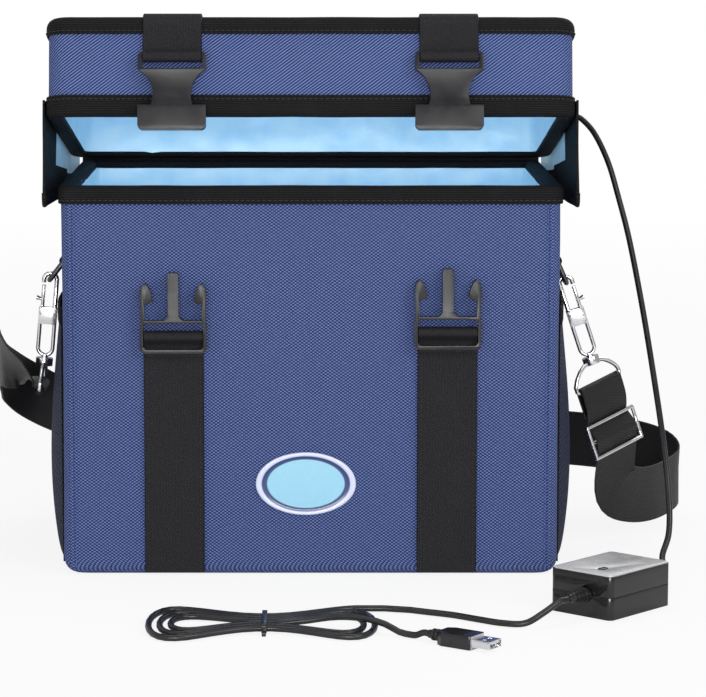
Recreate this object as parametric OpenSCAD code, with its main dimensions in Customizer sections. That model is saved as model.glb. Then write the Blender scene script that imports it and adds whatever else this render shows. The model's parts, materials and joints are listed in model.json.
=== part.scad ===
// Soft sided ultraviolet sterilising case with a hinged box lid, side release
// buckles, a shoulder strap on snap hooks, and a lamp cord with its control box
// and a tied hank. Millimetres. Origin: centre of the base underside, front
// towards -Y, up +Z. The lid stands ajar by lid_ajar.

/* [Case] */
// Width of the case across its side panels
body_w = 312; // [290:2:340]
// Depth of the case from front panel to rear panel
body_d = 210; // [190:2:240]
// Height of the fabric walls
body_h = 244; // [230:2:260]
// Thickness of the woven cover
panel_t = 1.6; // [1.2:0.1:2]
// Thickness of the foam sheets
foam_t = 6; // [4:0.5:7]
// Thickness of the foil lining
foil_t = 0.8; // [0.6:0.1:1]

/* [Lid] */
// Width of the lid
lid_w = 327; // [322:1:332]
// Depth of the lid
lid_d = 218; // [215:1:222]
// Height of the lid's side walls up to its rolled edge
lid_wall = 55; // [48:1:62]
// Angle at which the lid stands open
lid_ajar = 11.3; // [8:0.1:16]

/* [Straps] */
// Width of the webbing
web_w = 38; // [34:1:38]
// Thickness of the webbing
web_t = 1.6; // [1.2:0.1:1.8]
// Distance of each buckle strap from the middle
strap_x = 85.5; // [75:0.5:95]
// Height of the two tongue bars above the base, left and right
tongue_z = [152, 154.5]; // [140:0.5:160]

/* [Cords] */
// Diameter of the cords
cord_d = 3.8; // [3.6:0.1:3.9]
// Half length of the hank
hank_a = 71; // [69:1:73]
// Half width of the hank's tied waist
hank_waist = 18; // [17:0.5:19]
// Amount by which the hank's loops swell out
hank_swell = 80; // [76:1:84]

/* [Hidden] */
$fn = 48;

// Colours as the photograph shows them
navy = "#24357a";
navy_dark = "#1b2450";
black_web = "#17171a";
black_plastic = "#242427";
foil_blue = "#a9ddf2";
foam_white = "#d9dde0";
chrome = "#c9ccd0";
box_black = "#1c1c1e";
box_grey = "#d6d6d8";

ply_gap = 0.1;
corner_r = 6;
bottom_r = 10;
seam_x = body_w / 2 - corner_r;
rim_h = 11.4;
bind_t = 1.4;
front_y = -body_d / 2;
stack_t = panel_t + foam_t + foil_t + 2 * ply_gap;
inner_w = body_w - 2 * stack_t;
inner_d = body_d - 2 * stack_t;
liner_z = panel_t + foam_t + 2 * ply_gap;
wall_top = body_h - 0.5;

// A rectangle with round corners, centred
module round_rect(w, h, r) {
  square([w - 2 * r, h], center = true);
  square([w, h - 2 * r], center = true);
  for (sx = [-1, 1], sy = [-1, 1])
    translate([sx * (w / 2 - r), sy * (h / 2 - r)])
      circle(r);
}

// A block whose plan is a round cornered rectangle, from z0 to z1
module plan_block(w, d, r, z0, z1) {
  translate([0, 0, z0])
    linear_extrude(z1 - z0)
      round_rect(w, d, r);
}

// A profile drawn outward and up, run along X and centred
module along_x(length) {
  rotate([90, 0, 90])
    linear_extrude(length, center = true)
      mirror([1, 0])
        children();
}

// A profile drawn outward and up, swept round a round cornered rectangle
module sweep_round(w, d, r) {
  for (k = [0:3]) {
    side = k % 2 == 0 ? w : d;
    across = k % 2 == 0 ? d : w;
    rotate(90 * k) {
      translate([0, -across / 2, 0])
        along_x(side - 2 * r)
          children();
      translate([side / 2 - r, -across / 2 + r, 0])
        rotate(-90)
          rotate_extrude(angle = 90)
            translate([r, 0])
              children();
    }
  }
}

// A round rod between two points, with round ends
module rod(p, q, r) {
  v = q - p;
  length = norm(v);
  turn = atan2(v.y, v.x);
  tilt = acos(v.z / length);
  translate(p)
    rotate([0, tilt, turn])
      cylinder(h = length, r = r);
  translate(p)
    sphere(r);
  translate(q)
    sphere(r);
}

// Rods along a list of points
module rods(points, r) {
  for (i = [0:len(points) - 2])
    rod(points[i], points[i + 1], r);
}

function unit(v) = v / norm(v);

// One point of a smooth curve through p1 and p2
function curve_point(p0, p1, p2, p3, t) =
  0.5 * (2 * p1 + (p2 - p0) * t
    + (2 * p0 - 5 * p1 + 4 * p2 - p3) * t * t
    + (3 * p1 - p0 - 3 * p2 + p3) * t * t * t);

// A smooth curve through a list of points, steps per stretch
function smooth_curve(p, steps) =
  let (n = len(p))
  [
    for (i = [0:n - 2])
      for (k = [0:steps - 1])
        curve_point(
          p[max(i - 1, 0)], p[i], p[i + 1], p[min(i + 2, n - 1)], k / steps
        ),
    p[n - 1]
  ];

function heading(p, i) =
  unit(p[min(i + 1, len(p) - 1)] - p[max(i - 1, 0)]);

// Sides of the quads between two rings of n points, as triangles
function skin_faces(rings, n) =
  [
    for (i = [0:rings - 2])
      for (k = [0:n - 1])
        let (a = i * n + k, b = i * n + (k + 1) % n)
          for (f = [[a, a + n, b], [b, a + n, b + n]])
            f
  ];

// Fans that close the first and the last ring
function cap_faces(rings, n) =
  let (last = (rings - 1) * n)
  concat(
    [for (k = [1:n - 2]) [0, k, k + 1]],
    [for (k = [1:n - 2]) [last, last + k + 1, last + k]]
  );

// A tube along a path; up is a direction that the path never takes
module tube(path, r, sides, up = [0, 0, 1]) {
  n = len(path);
  points = [
    for (i = [0:n - 1])
      let (
        t = heading(path, i),
        a = unit(cross(t, up)),
        b = cross(a, t)
      )
        for (k = [0:sides - 1])
          let (w = 360 * (k + 0.5) / sides)
            path[i] + r * (cos(w) * a - sin(w) * b)
  ];
  polyhedron(points, concat(skin_faces(n, sides), cap_faces(n, sides)));
}

// A flat strap along a path, its width lying along wide at each point
module ribbon(path, wide, w, t) {
  n = len(path);
  points = [
    for (i = [0:n - 1])
      let (
        h = heading(path, i),
        side = unit(wide[i] - h * (wide[i] * h)),
        up = cross(h, side)
      )
        for (c = [[-1, -1], [1, -1], [1, 1], [-1, 1]])
          path[i] + side * c.x * w / 2 + up * c.y * t / 2
  ];
  polyhedron(points, concat(skin_faces(n, 4), cap_faces(n, 4)));
}

/* Case walls */

// Front outline of the case with round lower corners, drawn in by inset
module front_outline(inset) {
  r = bottom_r - inset;
  translate([-body_w / 2 + inset, bottom_r])
    square([body_w - 2 * inset, body_h]);
  translate([-body_w / 2 + bottom_r, inset])
    square([body_w - 2 * bottom_r, bottom_r]);
  for (s = [-1, 1])
    translate([s * (body_w / 2 - bottom_r), bottom_r])
      circle(r);
}

module outline_block(inset) {
  rotate([90, 0, 0])
    linear_extrude(2 * body_d, center = true)
      front_outline(inset);
}

module face_panel() {
  intersection() {
    outline_block(0);
    translate([-seam_x, front_y, 0])
      cube([2 * seam_x, panel_t, body_h]);
  }
}

module front_panel() {
  color(navy)
    face_panel();
}

module rear_panel() {
  color(navy)
    mirror([0, 1, 0])
      face_panel();
}

// One side wall, wrapping round both upright corners; s is -1 or 1
module side_panel(s) {
  color(navy_dark)
    translate([0, 0, bottom_r])
      linear_extrude(body_h - bottom_r)
        intersection() {
          difference() {
            round_rect(body_w, body_d, corner_r);
            round_rect(
              body_w - 2 * panel_t, body_d - 2 * panel_t, corner_r - panel_t
            );
          }
          translate([s * (seam_x + corner_r), 0])
            square([2 * corner_r, body_d], center = true);
        }
}

module side_panel_left() side_panel(-1);
module side_panel_right() side_panel(1);

module base_panel() {
  color(navy_dark)
    difference() {
      intersection() {
        difference() {
          outline_block(0);
          outline_block(panel_t);
        }
        plan_block(body_w, body_d, corner_r, 0, bottom_r);
      }
      for (s = [-1, 1])
        translate([0, s * (body_d / 2 - panel_t / 2), 0])
          cube([2 * seam_x, panel_t, 4 * bottom_r], center = true);
    }
}

// Five loose sheets: front, rear, two sides and base
module foam_walls() {
  t0 = panel_t + ply_gap;
  side_y = body_d / 2 - t0 - foam_t - ply_gap;
  side_z = bottom_r - 1;
  color(foam_white)
    intersection() {
      outline_block(t0);
      union() {
        for (s = [-1, 1]) {
          translate([0, s * (body_d / 2 - t0 - foam_t / 2), (wall_top + t0) / 2])
            cube([2 * seam_x, foam_t, wall_top - t0], center = true);
          translate([s * (body_w / 2 - t0 - foam_t / 2), 0, (wall_top + side_z) / 2])
            cube([foam_t, 2 * side_y, wall_top - side_z], center = true);
        }
        translate([0, 0, t0 + foam_t / 2])
          cube([body_w - 2 * bottom_r, 2 * side_y, foam_t], center = true);
      }
    }
}

module foil_liner() {
  color(foil_blue)
    difference() {
      plan_block(inner_w + 2 * foil_t, inner_d + 2 * foil_t, 3, liner_z, wall_top);
      plan_block(inner_w, inner_d, 2.2, liner_z + foil_t, body_h);
    }
}

// Binding tape folded over the top of the wall, with its inner and outer legs
module rim_binding() {
  leg_in = 1;
  color(black_web)
    difference() {
      plan_block(
        body_w + 2 * bind_t, body_d + 2 * bind_t, corner_r + bind_t,
        body_h + bind_t - rim_h, body_h + bind_t
      );
      difference() {
        plan_block(body_w, body_d, corner_r, 0, body_h);
        plan_block(inner_w, inner_d, 2.2, body_h + bind_t - rim_h, body_h);
      }
      plan_block(inner_w - 2 * leg_in, inner_d - 2 * leg_in, 1.2, 0, 2 * body_h);
    }
}

/* Lid: drawn closed, then turned about its hinge */

hinge_y = 107.5;
hinge_z = body_h + bind_t + 0.5;
lid_y = hinge_y - 0.5 - lid_d / 2;
lid_r = 14;
roll_r = 5;
lid_z = hinge_z + bind_t;
lid_h = lid_wall + roll_r;
lid_top_in = lid_h - stack_t;
lid_seam = lid_w / 2 - lid_r;

module on_lid() {
  translate([0, hinge_y, hinge_z])
    rotate([-lid_ajar, 0, 0])
      translate([0, lid_y - hinge_y, lid_z - hinge_z])
        children();
}

// A point of the closed lid, given in the lid's own frame, at its ajar place
function lid_point(p) =
  let (
    y = p.y + lid_y - hinge_y,
    z = p.z + lid_z - hinge_z
  )
  [
    p.x,
    hinge_y + y * cos(lid_ajar) + z * sin(lid_ajar),
    hinge_z - y * sin(lid_ajar) + z * cos(lid_ajar)
  ];

// The strip of tape that hinges the lid to the rear of the case
module hinge_strip() {
  strip_w = 270;
  strip_h = 12;
  strip_t = 0.8;
  y0 = body_d / 2 + bind_t + 0.15;
  color(black_web) {
    translate([-strip_w / 2, y0, hinge_z - strip_h])
      cube([strip_w, strip_t, strip_h - 0.3]);
    on_lid()
      translate([-strip_w / 2, lid_d / 2 + bind_t + 0.15, 0.6])
        cube([strip_w, strip_t, strip_h]);
  }
}

module lid_top_panel() {
  color(navy)
    on_lid() {
      plan_block(
        lid_w - 2 * roll_r, lid_d - 2 * roll_r, lid_r - roll_r,
        lid_h - panel_t, lid_h
      );
      sweep_round(lid_w, lid_d, lid_r)
        rolled_edge(roll_r - panel_t, roll_r);
    }
}

// A quarter ring that rolls the lid's upper edge over, between two radii
module rolled_edge(r0, r1) {
  translate([-roll_r, lid_wall])
    intersection() {
      difference() {
        circle(r1);
        circle(r0);
      }
      square(2 * r1);
    }
}

module lid_face_panel() {
  translate([-lid_seam, -lid_d / 2, 0])
    cube([2 * lid_seam, panel_t, lid_wall]);
}

module lid_front_panel() {
  color(navy)
    on_lid()
      lid_face_panel();
}

module lid_rear_panel() {
  color(navy)
    on_lid()
      mirror([0, 1, 0])
        lid_face_panel();
}

module lid_side(s) {
  color(navy)
    on_lid()
      linear_extrude(lid_wall)
        intersection() {
          difference() {
            round_rect(lid_w, lid_d, lid_r);
            round_rect(lid_w - 2 * panel_t, lid_d - 2 * panel_t, lid_r - panel_t);
          }
          translate([s * (lid_seam + lid_r), 0])
            square([2 * lid_r, lid_d], center = true);
        }
}

module lid_side_left() lid_side(-1);
module lid_side_right() lid_side(1);

// Five loose sheets: front, rear, two sides and top
module lid_foam() {
  t0 = panel_t + ply_gap;
  top_z = lid_h - t0;
  wall_z = top_z - foam_t - ply_gap;
  color(foam_white)
    on_lid() {
      for (s = [-1, 1]) {
        translate([0, s * (lid_d / 2 - t0 - foam_t / 2), (wall_z + 1) / 2])
          cube([2 * lid_seam - 1, foam_t, wall_z - 1], center = true);
        translate([s * (lid_w / 2 - t0 - foam_t / 2), 0, (wall_z + 1) / 2])
          cube([foam_t, lid_d - 2 * lid_r - 2, wall_z - 1], center = true);
      }
      plan_block(
        lid_w - 2 * roll_r, lid_d - 2 * roll_r, lid_r - roll_r,
        top_z - foam_t, top_z
      );
    }
}

module lid_liner() {
  w = lid_w - 2 * (stack_t - foil_t);
  d = lid_d - 2 * (stack_t - foil_t);
  color(foil_blue)
    on_lid()
      difference() {
        plan_block(w, d, 6, 1, lid_top_in + foil_t);
        plan_block(w - 2 * foil_t, d - 2 * foil_t, 6 - foil_t, 0, lid_top_in);
      }
}

// Binding that covers the rolled edge, with a leg down and a leg inward
module lid_top_binding() {
  leg = 5;
  color(black_web)
    on_lid()
      sweep_round(lid_w, lid_d, lid_r) {
        rolled_edge(roll_r, roll_r + bind_t);
        translate([0, lid_wall - leg])
          square([bind_t, leg]);
        translate([-roll_r - leg, lid_h])
          square([leg, bind_t]);
      }
}

// Binding folded over the lid's lower edge
module lid_lower_binding() {
  leg = 12;
  color(black_web)
    on_lid()
      sweep_round(lid_w, lid_d, lid_r)
        difference() {
          translate([-stack_t - 1, -bind_t])
            square([stack_t + 1 + bind_t, leg + bind_t]);
          translate([-stack_t, 0])
            square([stack_t, 2 * leg]);
          translate([-stack_t - 2, 8])
            square([2.01, leg]);
        }
}

// A gusset flap that hangs from the lid's side, outside the case
module side_flap(s) {
  flap_t = 1.4;
  front = -lid_d / 2 + 9;
  rear = lid_d / 2 - 14;
  drop = 56;
  tail = 9;
  tip_r = 8;
  color(black_web)
    on_lid()
      translate([s * (lid_w / 2 + bind_t + 0.2 + flap_t / 2), 0, 0])
        rotate([90, 0, 90])
          linear_extrude(flap_t, center = true)
            union() {
              polygon([
                [front, 10], [front, tip_r - drop], [front + tip_r, -drop],
                [front + 26, -drop + 3], [rear, -tail], [rear, 10]
              ]);
              translate([front + tip_r, tip_r - drop])
                circle(tip_r);
            }
}

module side_flap_left() side_flap(-1);
module side_flap_right() side_flap(1);

/* Straps and buckles */

// How far out of the panel the webbing lies, and where the buckle bars run
web_lift = 0.1;
bar_r = 1.8;
loop_in = 2;
loop_out = 3.5;
bar_out = 4.8;
fold_drop = 14;
slot_w = 37.6;
loop_w = 36.8;
body_strap_foot = 2;

// Webbing on the front panel, up to the stitched fold below the tongue
module body_strap(s) {
  bar_z = tongue_z[s > 0 ? 1 : 0];
  color(black_web)
    translate([s * strap_x, front_y, 0])
      along_x(web_w)
        translate([web_lift, body_strap_foot])
          square([web_t, bar_z - fold_drop - body_strap_foot]);
}

module body_strap_left() body_strap(-1);
module body_strap_right() body_strap(1);

// Profile of a turn of webbing round a bar at the origin, with its tail down
module web_turn(tail) {
  difference() {
    union() {
      circle(loop_out);
      translate([web_lift - bar_out, -tail])
        square([web_t, tail]);
      translate([web_lift - bar_out, -loop_out])
        square([web_t + 0.6, loop_out]);
    }
    circle(loop_in);
  }
}

module strap_loop(s) {
  bar_z = tongue_z[s > 0 ? 1 : 0];
  color(black_web)
    translate([s * strap_x, front_y, bar_z])
      along_x(loop_w)
        translate([bar_out, 0])
          web_turn(fold_drop - 0.2);
}

module strap_loop_left() strap_loop(-1);
module strap_loop_right() strap_loop(1);

tongue_w = 41.5;
tongue_t = 5.6;
prong_top = 39.8;

// Arm of the tongue with its barbed head, on the side x > 0
module tongue_arm() {
  arm_x = tongue_w / 2 - 1.7;
  polygon([
    [arm_x - 1.2, 8], [arm_x + 1.2, 8], [arm_x + 1.5, 21],
    [arm_x + 1.7, 26], [arm_x + 0.9, 30.5], [arm_x - 1.4, 33.3],
    [arm_x - 3.6, 31], [arm_x - 5.6, 26], [arm_x - 6.2, 21.6],
    [arm_x - 1, 20]
  ]);
}

// Front outline of the male half, its bar at the origin
module tongue_outline() {
  frame_mid = -0.5;
  difference() {
    translate([0, frame_mid])
      round_rect(tongue_w, 20.8, 4);
    translate([0, frame_mid + 0.6])
      round_rect(slot_w, 16.6, 2.6);
  }
  difference() {
    translate([-7.4, 9])
      square([14.8, 4.6]);
    for (s = [-1, 1])
      translate([s * 8.2, 14.4])
        circle(4.8);
  }
  translate([-3.4, 9])
    square([6.8, prong_top - 9 - 1.4]);
  translate([-2, 9])
    square([4, prong_top - 9]);
  for (s = [-1, 1])
    translate([s * 2, prong_top - 1.4])
      circle(1.4);
  for (s = [0, 1])
    mirror([s, 0])
      tongue_arm();
}

module tongue(s) {
  bar_z = tongue_z[s > 0 ? 1 : 0];
  color(black_plastic)
    translate([s * strap_x, front_y - bar_out, bar_z]) {
      rotate([90, 0, 0])
        linear_extrude(tongue_t, center = true)
          tongue_outline();
      rotate([0, 90, 0])
        cylinder(h = slot_w + 2, r = bar_r, center = true);
    }
}

module tongue_left() tongue(-1);
module tongue_right() tongue(1);

socket_bar_z = 35;
socket_w = 42;
socket_end = -45.5;
shoulder_z = -30.5;

// Front outline of the female half, its bar at the origin
module socket_outline() {
  difference() {
    translate([0, (socket_end + 3) / 2])
      round_rect(socket_w, 3 - socket_end, 3);
    for (s = [-1, 1])
      intersection() {
        translate([s * 30, -24])
          circle(18.3);
        translate([s * 30, shoulder_z + 20])
          square(40, center = true);
      }
    translate([0, -1.2])
      round_rect(slot_w, 12.8, 1.6);
  }
}

// Side outline of the female half: outward from its bar, and up
module socket_side() {
  polygon([
    [-3, 3], [3, 3], [3.2, -8], [4.6, -26], [5.8, -32],
    [5.8, socket_end - 1], [-3, socket_end - 1]
  ]);
}

module socket(s) {
  mouth_t = 5.6;
  mouth_top = -26;
  color(black_plastic)
    on_lid()
      translate([s * strap_x, -lid_d / 2 - bar_out, socket_bar_z])
        difference() {
          union() {
            intersection() {
              rotate([90, 0, 0])
                linear_extrude(30, center = true)
                  socket_outline();
              along_x(2 * socket_w)
                socket_side();
            }
            rotate([0, 90, 0])
              cylinder(h = slot_w + 2, r = bar_r, center = true);
          }
          along_x(socket_w - 4)
            translate([-1.4, socket_end - 2])
              square([mouth_t, mouth_top - socket_end + 2]);
        }
}

module socket_left() socket(-1);
module socket_right() socket(1);

// Webbing from the lid's top over its rolled edge, down to the socket's bar
module lid_strap(s) {
  top_run = 42;
  out = bind_t + 0.2;
  color(black_web)
    on_lid()
      translate([s * strap_x, -lid_d / 2, 0])
        along_x(loop_w) {
          rolled_edge(roll_r + out, roll_r + out + web_t);
          translate([-roll_r - top_run, lid_h + out])
            square([top_run, web_t]);
          difference() {
            union() {
              translate([bar_out, socket_bar_z])
                circle(loop_out);
              translate([out, socket_bar_z])
                square([web_t, lid_wall - socket_bar_z]);
            }
            translate([bar_out, socket_bar_z])
              circle(loop_in);
          }
        }
}

module lid_strap_left() lid_strap(-1);
module lid_strap_right() lid_strap(1);

// A bare oval patch with a raised border
module badge() {
  badge_w = 63;
  badge_h = 40;
  function oval(w, h) = [for (a = [0:7.5:359]) [w / 2 * cos(a), h / 2 * sin(a)]];
  color(foil_blue)
    translate([-3, front_y - 0.05, 58])
      rotate([90, 0, 0]) {
        linear_extrude(1)
          polygon(oval(badge_w, badge_h));
        linear_extrude(1.6)
          difference() {
            polygon(oval(badge_w, badge_h));
            polygon(oval(badge_w - 5, badge_h - 5));
          }
      }
}

/* Side pockets, tabs, hooks and the shoulder strap */

pocket_half = 86;
pocket_foot = 8;
pocket_top = 166;
pocket_t = 1.2;

// How far the pocket stands out of the side wall
function pocket_out(y, z) =
  let (
    t = (z - pocket_foot) / (pocket_top - pocket_foot),
    crown = 8 * (1 - t) + 5 * t + 10 * sin(180 * pow(t, 0.75))
  )
  0.4 + crown * (1 - pow(y / pocket_half, 2));

// A curved sheet of the pocket's surface, standing off by lift
module pocket_sheet(s, z0, z1, lift, thick, cols, rows) {
  function at(i, j, d) =
    let (
      y = pocket_half * (2 * i / cols - 1),
      z = z0 + (z1 - z0) * j / rows
    )
    [s * (body_w / 2 + pocket_out(y, z) + d), y, z];
  ring = 2 * (cols + 1);
  points = [
    for (j = [0:rows])
      for (i = [0:ring - 1])
        i <= cols ? at(i, j, lift) : at(ring - 1 - i, j, lift + thick)
  ];
  faces = concat(skin_faces(rows + 1, ring), strip_caps(rows, cols));
  polyhedron(points, s > 0 ? [for (f = faces) [f[2], f[1], f[0]]] : faces);
}

// Ends of a curved sheet, as strips between its two long edges
function strip_caps(rows, cols) =
  let (
    ring = 2 * (cols + 1),
    last = rows * ring
  )
  [
    for (i = [0:cols - 1])
      let (a = i, b = i + 1, c = ring - 2 - i, d = ring - 1 - i)
        for (f = [
            [a, b, c], [a, c, d],
            [last + a, last + c, last + b], [last + a, last + d, last + c]
          ])
          f
  ];

module pocket(s) {
  color(navy_dark) {
    pocket_sheet(s, pocket_foot, pocket_top, 0, pocket_t, 12, 8);
    pocket_floor(s);
  }
}

// Closes the pocket at its foot, following its plan
module pocket_floor(s) {
  cols = 12;
  arc = [
    for (i = [0:cols])
      let (y = pocket_half * (2 * i / cols - 1))
        [s * (body_w / 2 + pocket_out(y, pocket_foot) + pocket_t), y]
  ];
  base = [
    [s * (body_w / 2 + 0.2), pocket_half],
    [s * (body_w / 2 + 0.2), -pocket_half]
  ];
  translate([0, 0, pocket_foot - 1.25])
    linear_extrude(1.2)
      polygon(concat(arc, base));
}

module pocket_left() pocket(-1);
module pocket_right() pocket(1);

// Elastic binding along the mouth of each pocket
module pocket_bindings() {
  color(black_web)
    for (s = [-1, 1])
      pocket_sheet(
        s, pocket_top - 10, pocket_top + 1, pocket_t + 0.3, 0.8, 12, 2
      );
}

ring_z = 188;
ring_out = 5;
ring_drop = 16;
ring_bar = 25;
ring_wire = 1.7;
ring_lean = [38, 24];
hook_lean = [5, 18.5];
frame_turn = [90, 40];
eye_gap = 0.25;

function side_index(s) = s > 0 ? 1 : 0;

// Runs its children in the ring's frame: bar at the origin, ring hanging down
module on_ring(s) {
  translate([s * (body_w / 2 + ring_out), 0, ring_z])
    rotate([0, -s * ring_lean[side_index(s)], 0])
      children();
}

// Place of the ring's lower wire
function eye_place(s) =
  let (a = ring_lean[side_index(s)])
  [
    s * (body_w / 2 + ring_out + ring_drop * sin(a)),
    0,
    ring_z - ring_drop * cos(a)
  ];

// Runs its children in the hook's frame: ring wire at the origin, hook down
module on_hook(s) {
  translate(eye_place(s))
    rotate([0, -s * hook_lean[side_index(s)], 0])
      children();
}

// Webbing tab on the side wall, with a turn that holds the ring's bar
module ring_tab(s) {
  tab_w = 20;
  out = ring_out;
  turn_in = ring_wire + 0.3;
  turn_out = turn_in + 1.4;
  color(black_web)
    translate([s * body_w / 2, 0, 0])
      rotate([90, 0, 0])
        linear_extrude(tab_w, center = true)
          scale([s, 1])
            difference() {
              union() {
                translate([0.1, ring_z - 18])
                  square([1.6, 34]);
                translate([out, ring_z])
                  circle(turn_out);
                translate([0.1, ring_z])
                  square([out - 0.1, turn_out]);
              }
              translate([out, ring_z])
                circle(turn_in);
            }
}

module ring_tab_left() ring_tab(-1);
module ring_tab_right() ring_tab(1);

// A D shaped ring: straight bar along Y and a round bow below it
module d_ring(s) {
  half = ring_bar / 2;
  bow = 6;
  color(black_plastic)
    on_ring(s) {
      rods([
        [0, half - bow, -ring_drop], [0, -half + bow, -ring_drop]
      ], ring_wire);
      rods([[0, half, 0], [0, -half, 0]], ring_wire);
      for (k = [-1, 1]) {
        rods([[0, k * half, 0], [0, k * half, bow - ring_drop]], ring_wire);
        translate([0, k * (half - bow), bow - ring_drop])
          rotate([90, 0, k > 0 ? 90 : -90])
            rotate([0, 0, -90])
              rotate_extrude(angle = 90)
                translate([bow, 0])
                  circle(ring_wire, $fn = 24);
      }
    }
}

module d_ring_left() d_ring(-1);
module d_ring_right() d_ring(1);

hook_wire = 1.5;
claw_half = 4.2;
claw_foot = -20;
hook_neck = -56;
gate_pivot = [claw_half - 0.2, claw_foot + 1];

// An arc of wire in the hook's plane, from angle a over sweep
module hook_arc(centre, r, a, sweep, wire) {
  translate([centre.x, 0, centre.y])
    rotate([90, 0, 0])
      rotate([0, 0, a])
        rotate_extrude(angle = sweep)
          translate([r, 0])
            circle(wire, $fn = 24);
}

// Trigger hook: claw, pivot block, open lower loop and swivel neck
module snap_hook(s) {
  top = ring_wire + eye_gap + hook_wire - claw_half;
  loop_half = 4.8;
  loop_top = -29;
  loop_foot = -46;
  color(chrome)
    on_hook(s)
      scale([s, 1, 1]) {
        hook_arc([0, top], claw_half, 0, 180, hook_wire);
        translate([-claw_half, 0, claw_foot - 1])
          cylinder(h = top - claw_foot + 1, r = hook_wire);
        translate([claw_half, 0, top - 2])
          cylinder(h = 2, r = hook_wire);
        difference() {
          translate([0, 0, (claw_foot + loop_top) / 2])
            cube([12, 6, claw_foot - loop_top + 2], center = true);
          translate([gate_pivot.x + 0.4, 0, claw_foot + 0.6])
            cube([5, 3.4, 4.4], center = true);
        }
        for (k = [-1, 1])
          translate([k * loop_half, 0, loop_foot])
            cylinder(h = loop_top - loop_foot, r = 1.3);
        hook_arc([0, loop_foot], loop_half, 180, 180, 1.3);
        translate([0, 0, hook_neck])
          cylinder(h = 6, r = 2);
        translate([0, 0, hook_neck])
          cylinder(h = 1.4, r = 3.6);
      }
}

module snap_hook_left() snap_hook(-1);
module snap_hook_right() snap_hook(1);

// Sprung gate that closes the claw, with its thumb knob
module hook_gate(s) {
  gate_top = ring_wire + eye_gap + hook_wire - claw_half - 3.6;
  foot = gate_pivot.y - 1;
  color(chrome)
    on_hook(s) {
      translate([s * gate_pivot.x, 0, foot])
        cylinder(h = gate_top - foot, r = 1.2);
      translate([s * gate_pivot.x, 0, -14])
        rotate([0, s * 78, 0])
          cylinder(h = 4.4, r1 = 0.9, r2 = 1.5);
    }
}

module hook_gate_left() hook_gate(-1);
module hook_gate_right() hook_gate(1);

frame_half = 20.5;
frame_drop = 16;

// Runs its children at the swivel, frame width along X
module on_swivel(s) {
  on_hook(s)
    translate([0, 0, hook_neck])
      rotate([0, 0, frame_turn[side_index(s)]])
        children();
}

// Wire frame for the strap, with the eye that turns on the hook's neck
module swivel_frame(s) {
  color(chrome)
    on_swivel(s) {
      difference() {
        union() {
          translate([0, 0, 1.7])
            cylinder(h = 1.9, r = 4.4);
          translate([0, 0, -1.6])
            cylinder(h = 5, r = 5.6);
        }
        translate([0, 0, -0.3])
          cylinder(h = 2, r = 4);
        translate([0, 0, -1])
          cylinder(h = 8, r = 2.3);
      }
      tube(frame_wire, 1.4, 10, [0, 1, 0]);
    }
}

// Bent wire of the strap frame, from one side of the eye round to the other
frame_bow = [
  [4.4, 0, -0.3], [8, 0, -1], [13, 0, -3.4], [17.5, 0, -7.2],
  [frame_half, 0, -11.2], [frame_half, 0, -14.6], [frame_half - 1.6, 0, -frame_drop]
];
frame_wire = concat(
  smooth_curve(frame_bow, 2),
  [for (k = [len(frame_bow) - 1:-1:0]) [-frame_bow[k].x, 0, frame_bow[k].z]]
);

module swivel_frame_left() swivel_frame(-1);
module swivel_frame_right() swivel_frame(1);

// Place and width direction of the frame's lower bar
function hook_point(s, p) =
  let (a = -s * hook_lean[side_index(s)])
  eye_place(s) + [p.x * cos(a) + p.z * sin(a), p.y, p.z * cos(a) - p.x * sin(a)];

function swivel_point(s, p) =
  let (w = frame_turn[side_index(s)])
  hook_point(s, [
    p.x * cos(w) - p.y * sin(w), p.x * sin(w) + p.y * cos(w), p.z + hook_neck
  ]);

function swivel_dir(s, p) = swivel_point(s, p) - swivel_point(s, [0, 0, 0]);

// The shoulder strap: a doubled end round each frame's bar, an adjuster on the
// right, and one long slack run behind the case. Points in the swivels' own
// frames near the hooks, then in the case's frame.
strap_t = 1.5;
turn_r = 1.4 + 0.3 + strap_t / 2;
adjust_z = -50;
adjust_bar = 1.2;
weave = adjust_bar + 0.25 + strap_t / 2;

// Turn of the strap round a frame's bar, from angle a0 to a1 about the bar
function bar_turn(a0, a1) =
  [for (k = [0:8]) let (a = a0 + (a1 - a0) * k / 8)
    [0, -turn_r * cos(a), -frame_drop + turn_r * sin(a)]];

right_end = [
  for (p = concat(
      [[0, turn_r - 0.2, -34], [0, turn_r - 0.1, -26]],
      bar_turn(180, 0),
      [
        [0, -turn_r + 0.4, -25.5], [0, -1.3, -30], [0, 0.4, -34.8],
        [0, weave, -39.4], [0, 0, -44.6], [0, -weave, adjust_z],
        [0, 0, -55.4], [0, weave, -60.6]
      ]
    ))
    swivel_point(1, p)
];
right_run = [
  [203, 8, 36], [217, 22, 27], [236, 43, 26], [252, 72, 31], [244, 97, 40],
  [214, 114, 46], [160, 122, 50], [80, 126, 52], [0, 127, 54], [-80, 127, 56],
  [-140, 127, 60], [-172, 124, 70], [-196, 114, 84], [-209, 94, 98],
  [-211, 70, 109], [-209, 42, 117], [-204.5, 16, 119], [-197, 3.5, 116]
];
left_end = [
  for (p = concat(
      [[0, 12, -9.5], [0, 5, -13]],
      bar_turn(90, -150)
    ))
    swivel_point(-1, p)
];
right_wide = swivel_dir(1, [1, 0, 0]);
left_wide = swivel_dir(-1, [-1, 0, 0]);
strap_route = concat(right_end, right_run, left_end);
strap_wide = concat(
  [for (p = right_end) right_wide],
  [[0.7, 0.5, 0.5], [0.3, 0.2, 0.9]],
  [for (k = [2:len(right_run) - 4]) [0, 0, 1]],
  [[0, -0.1, 1], [0, -0.35, 0.94], [0, -0.65, 0.76], [0, -0.88, 0.48]],
  [for (k = [1:len(left_end) - 1]) left_wide]
);

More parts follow.
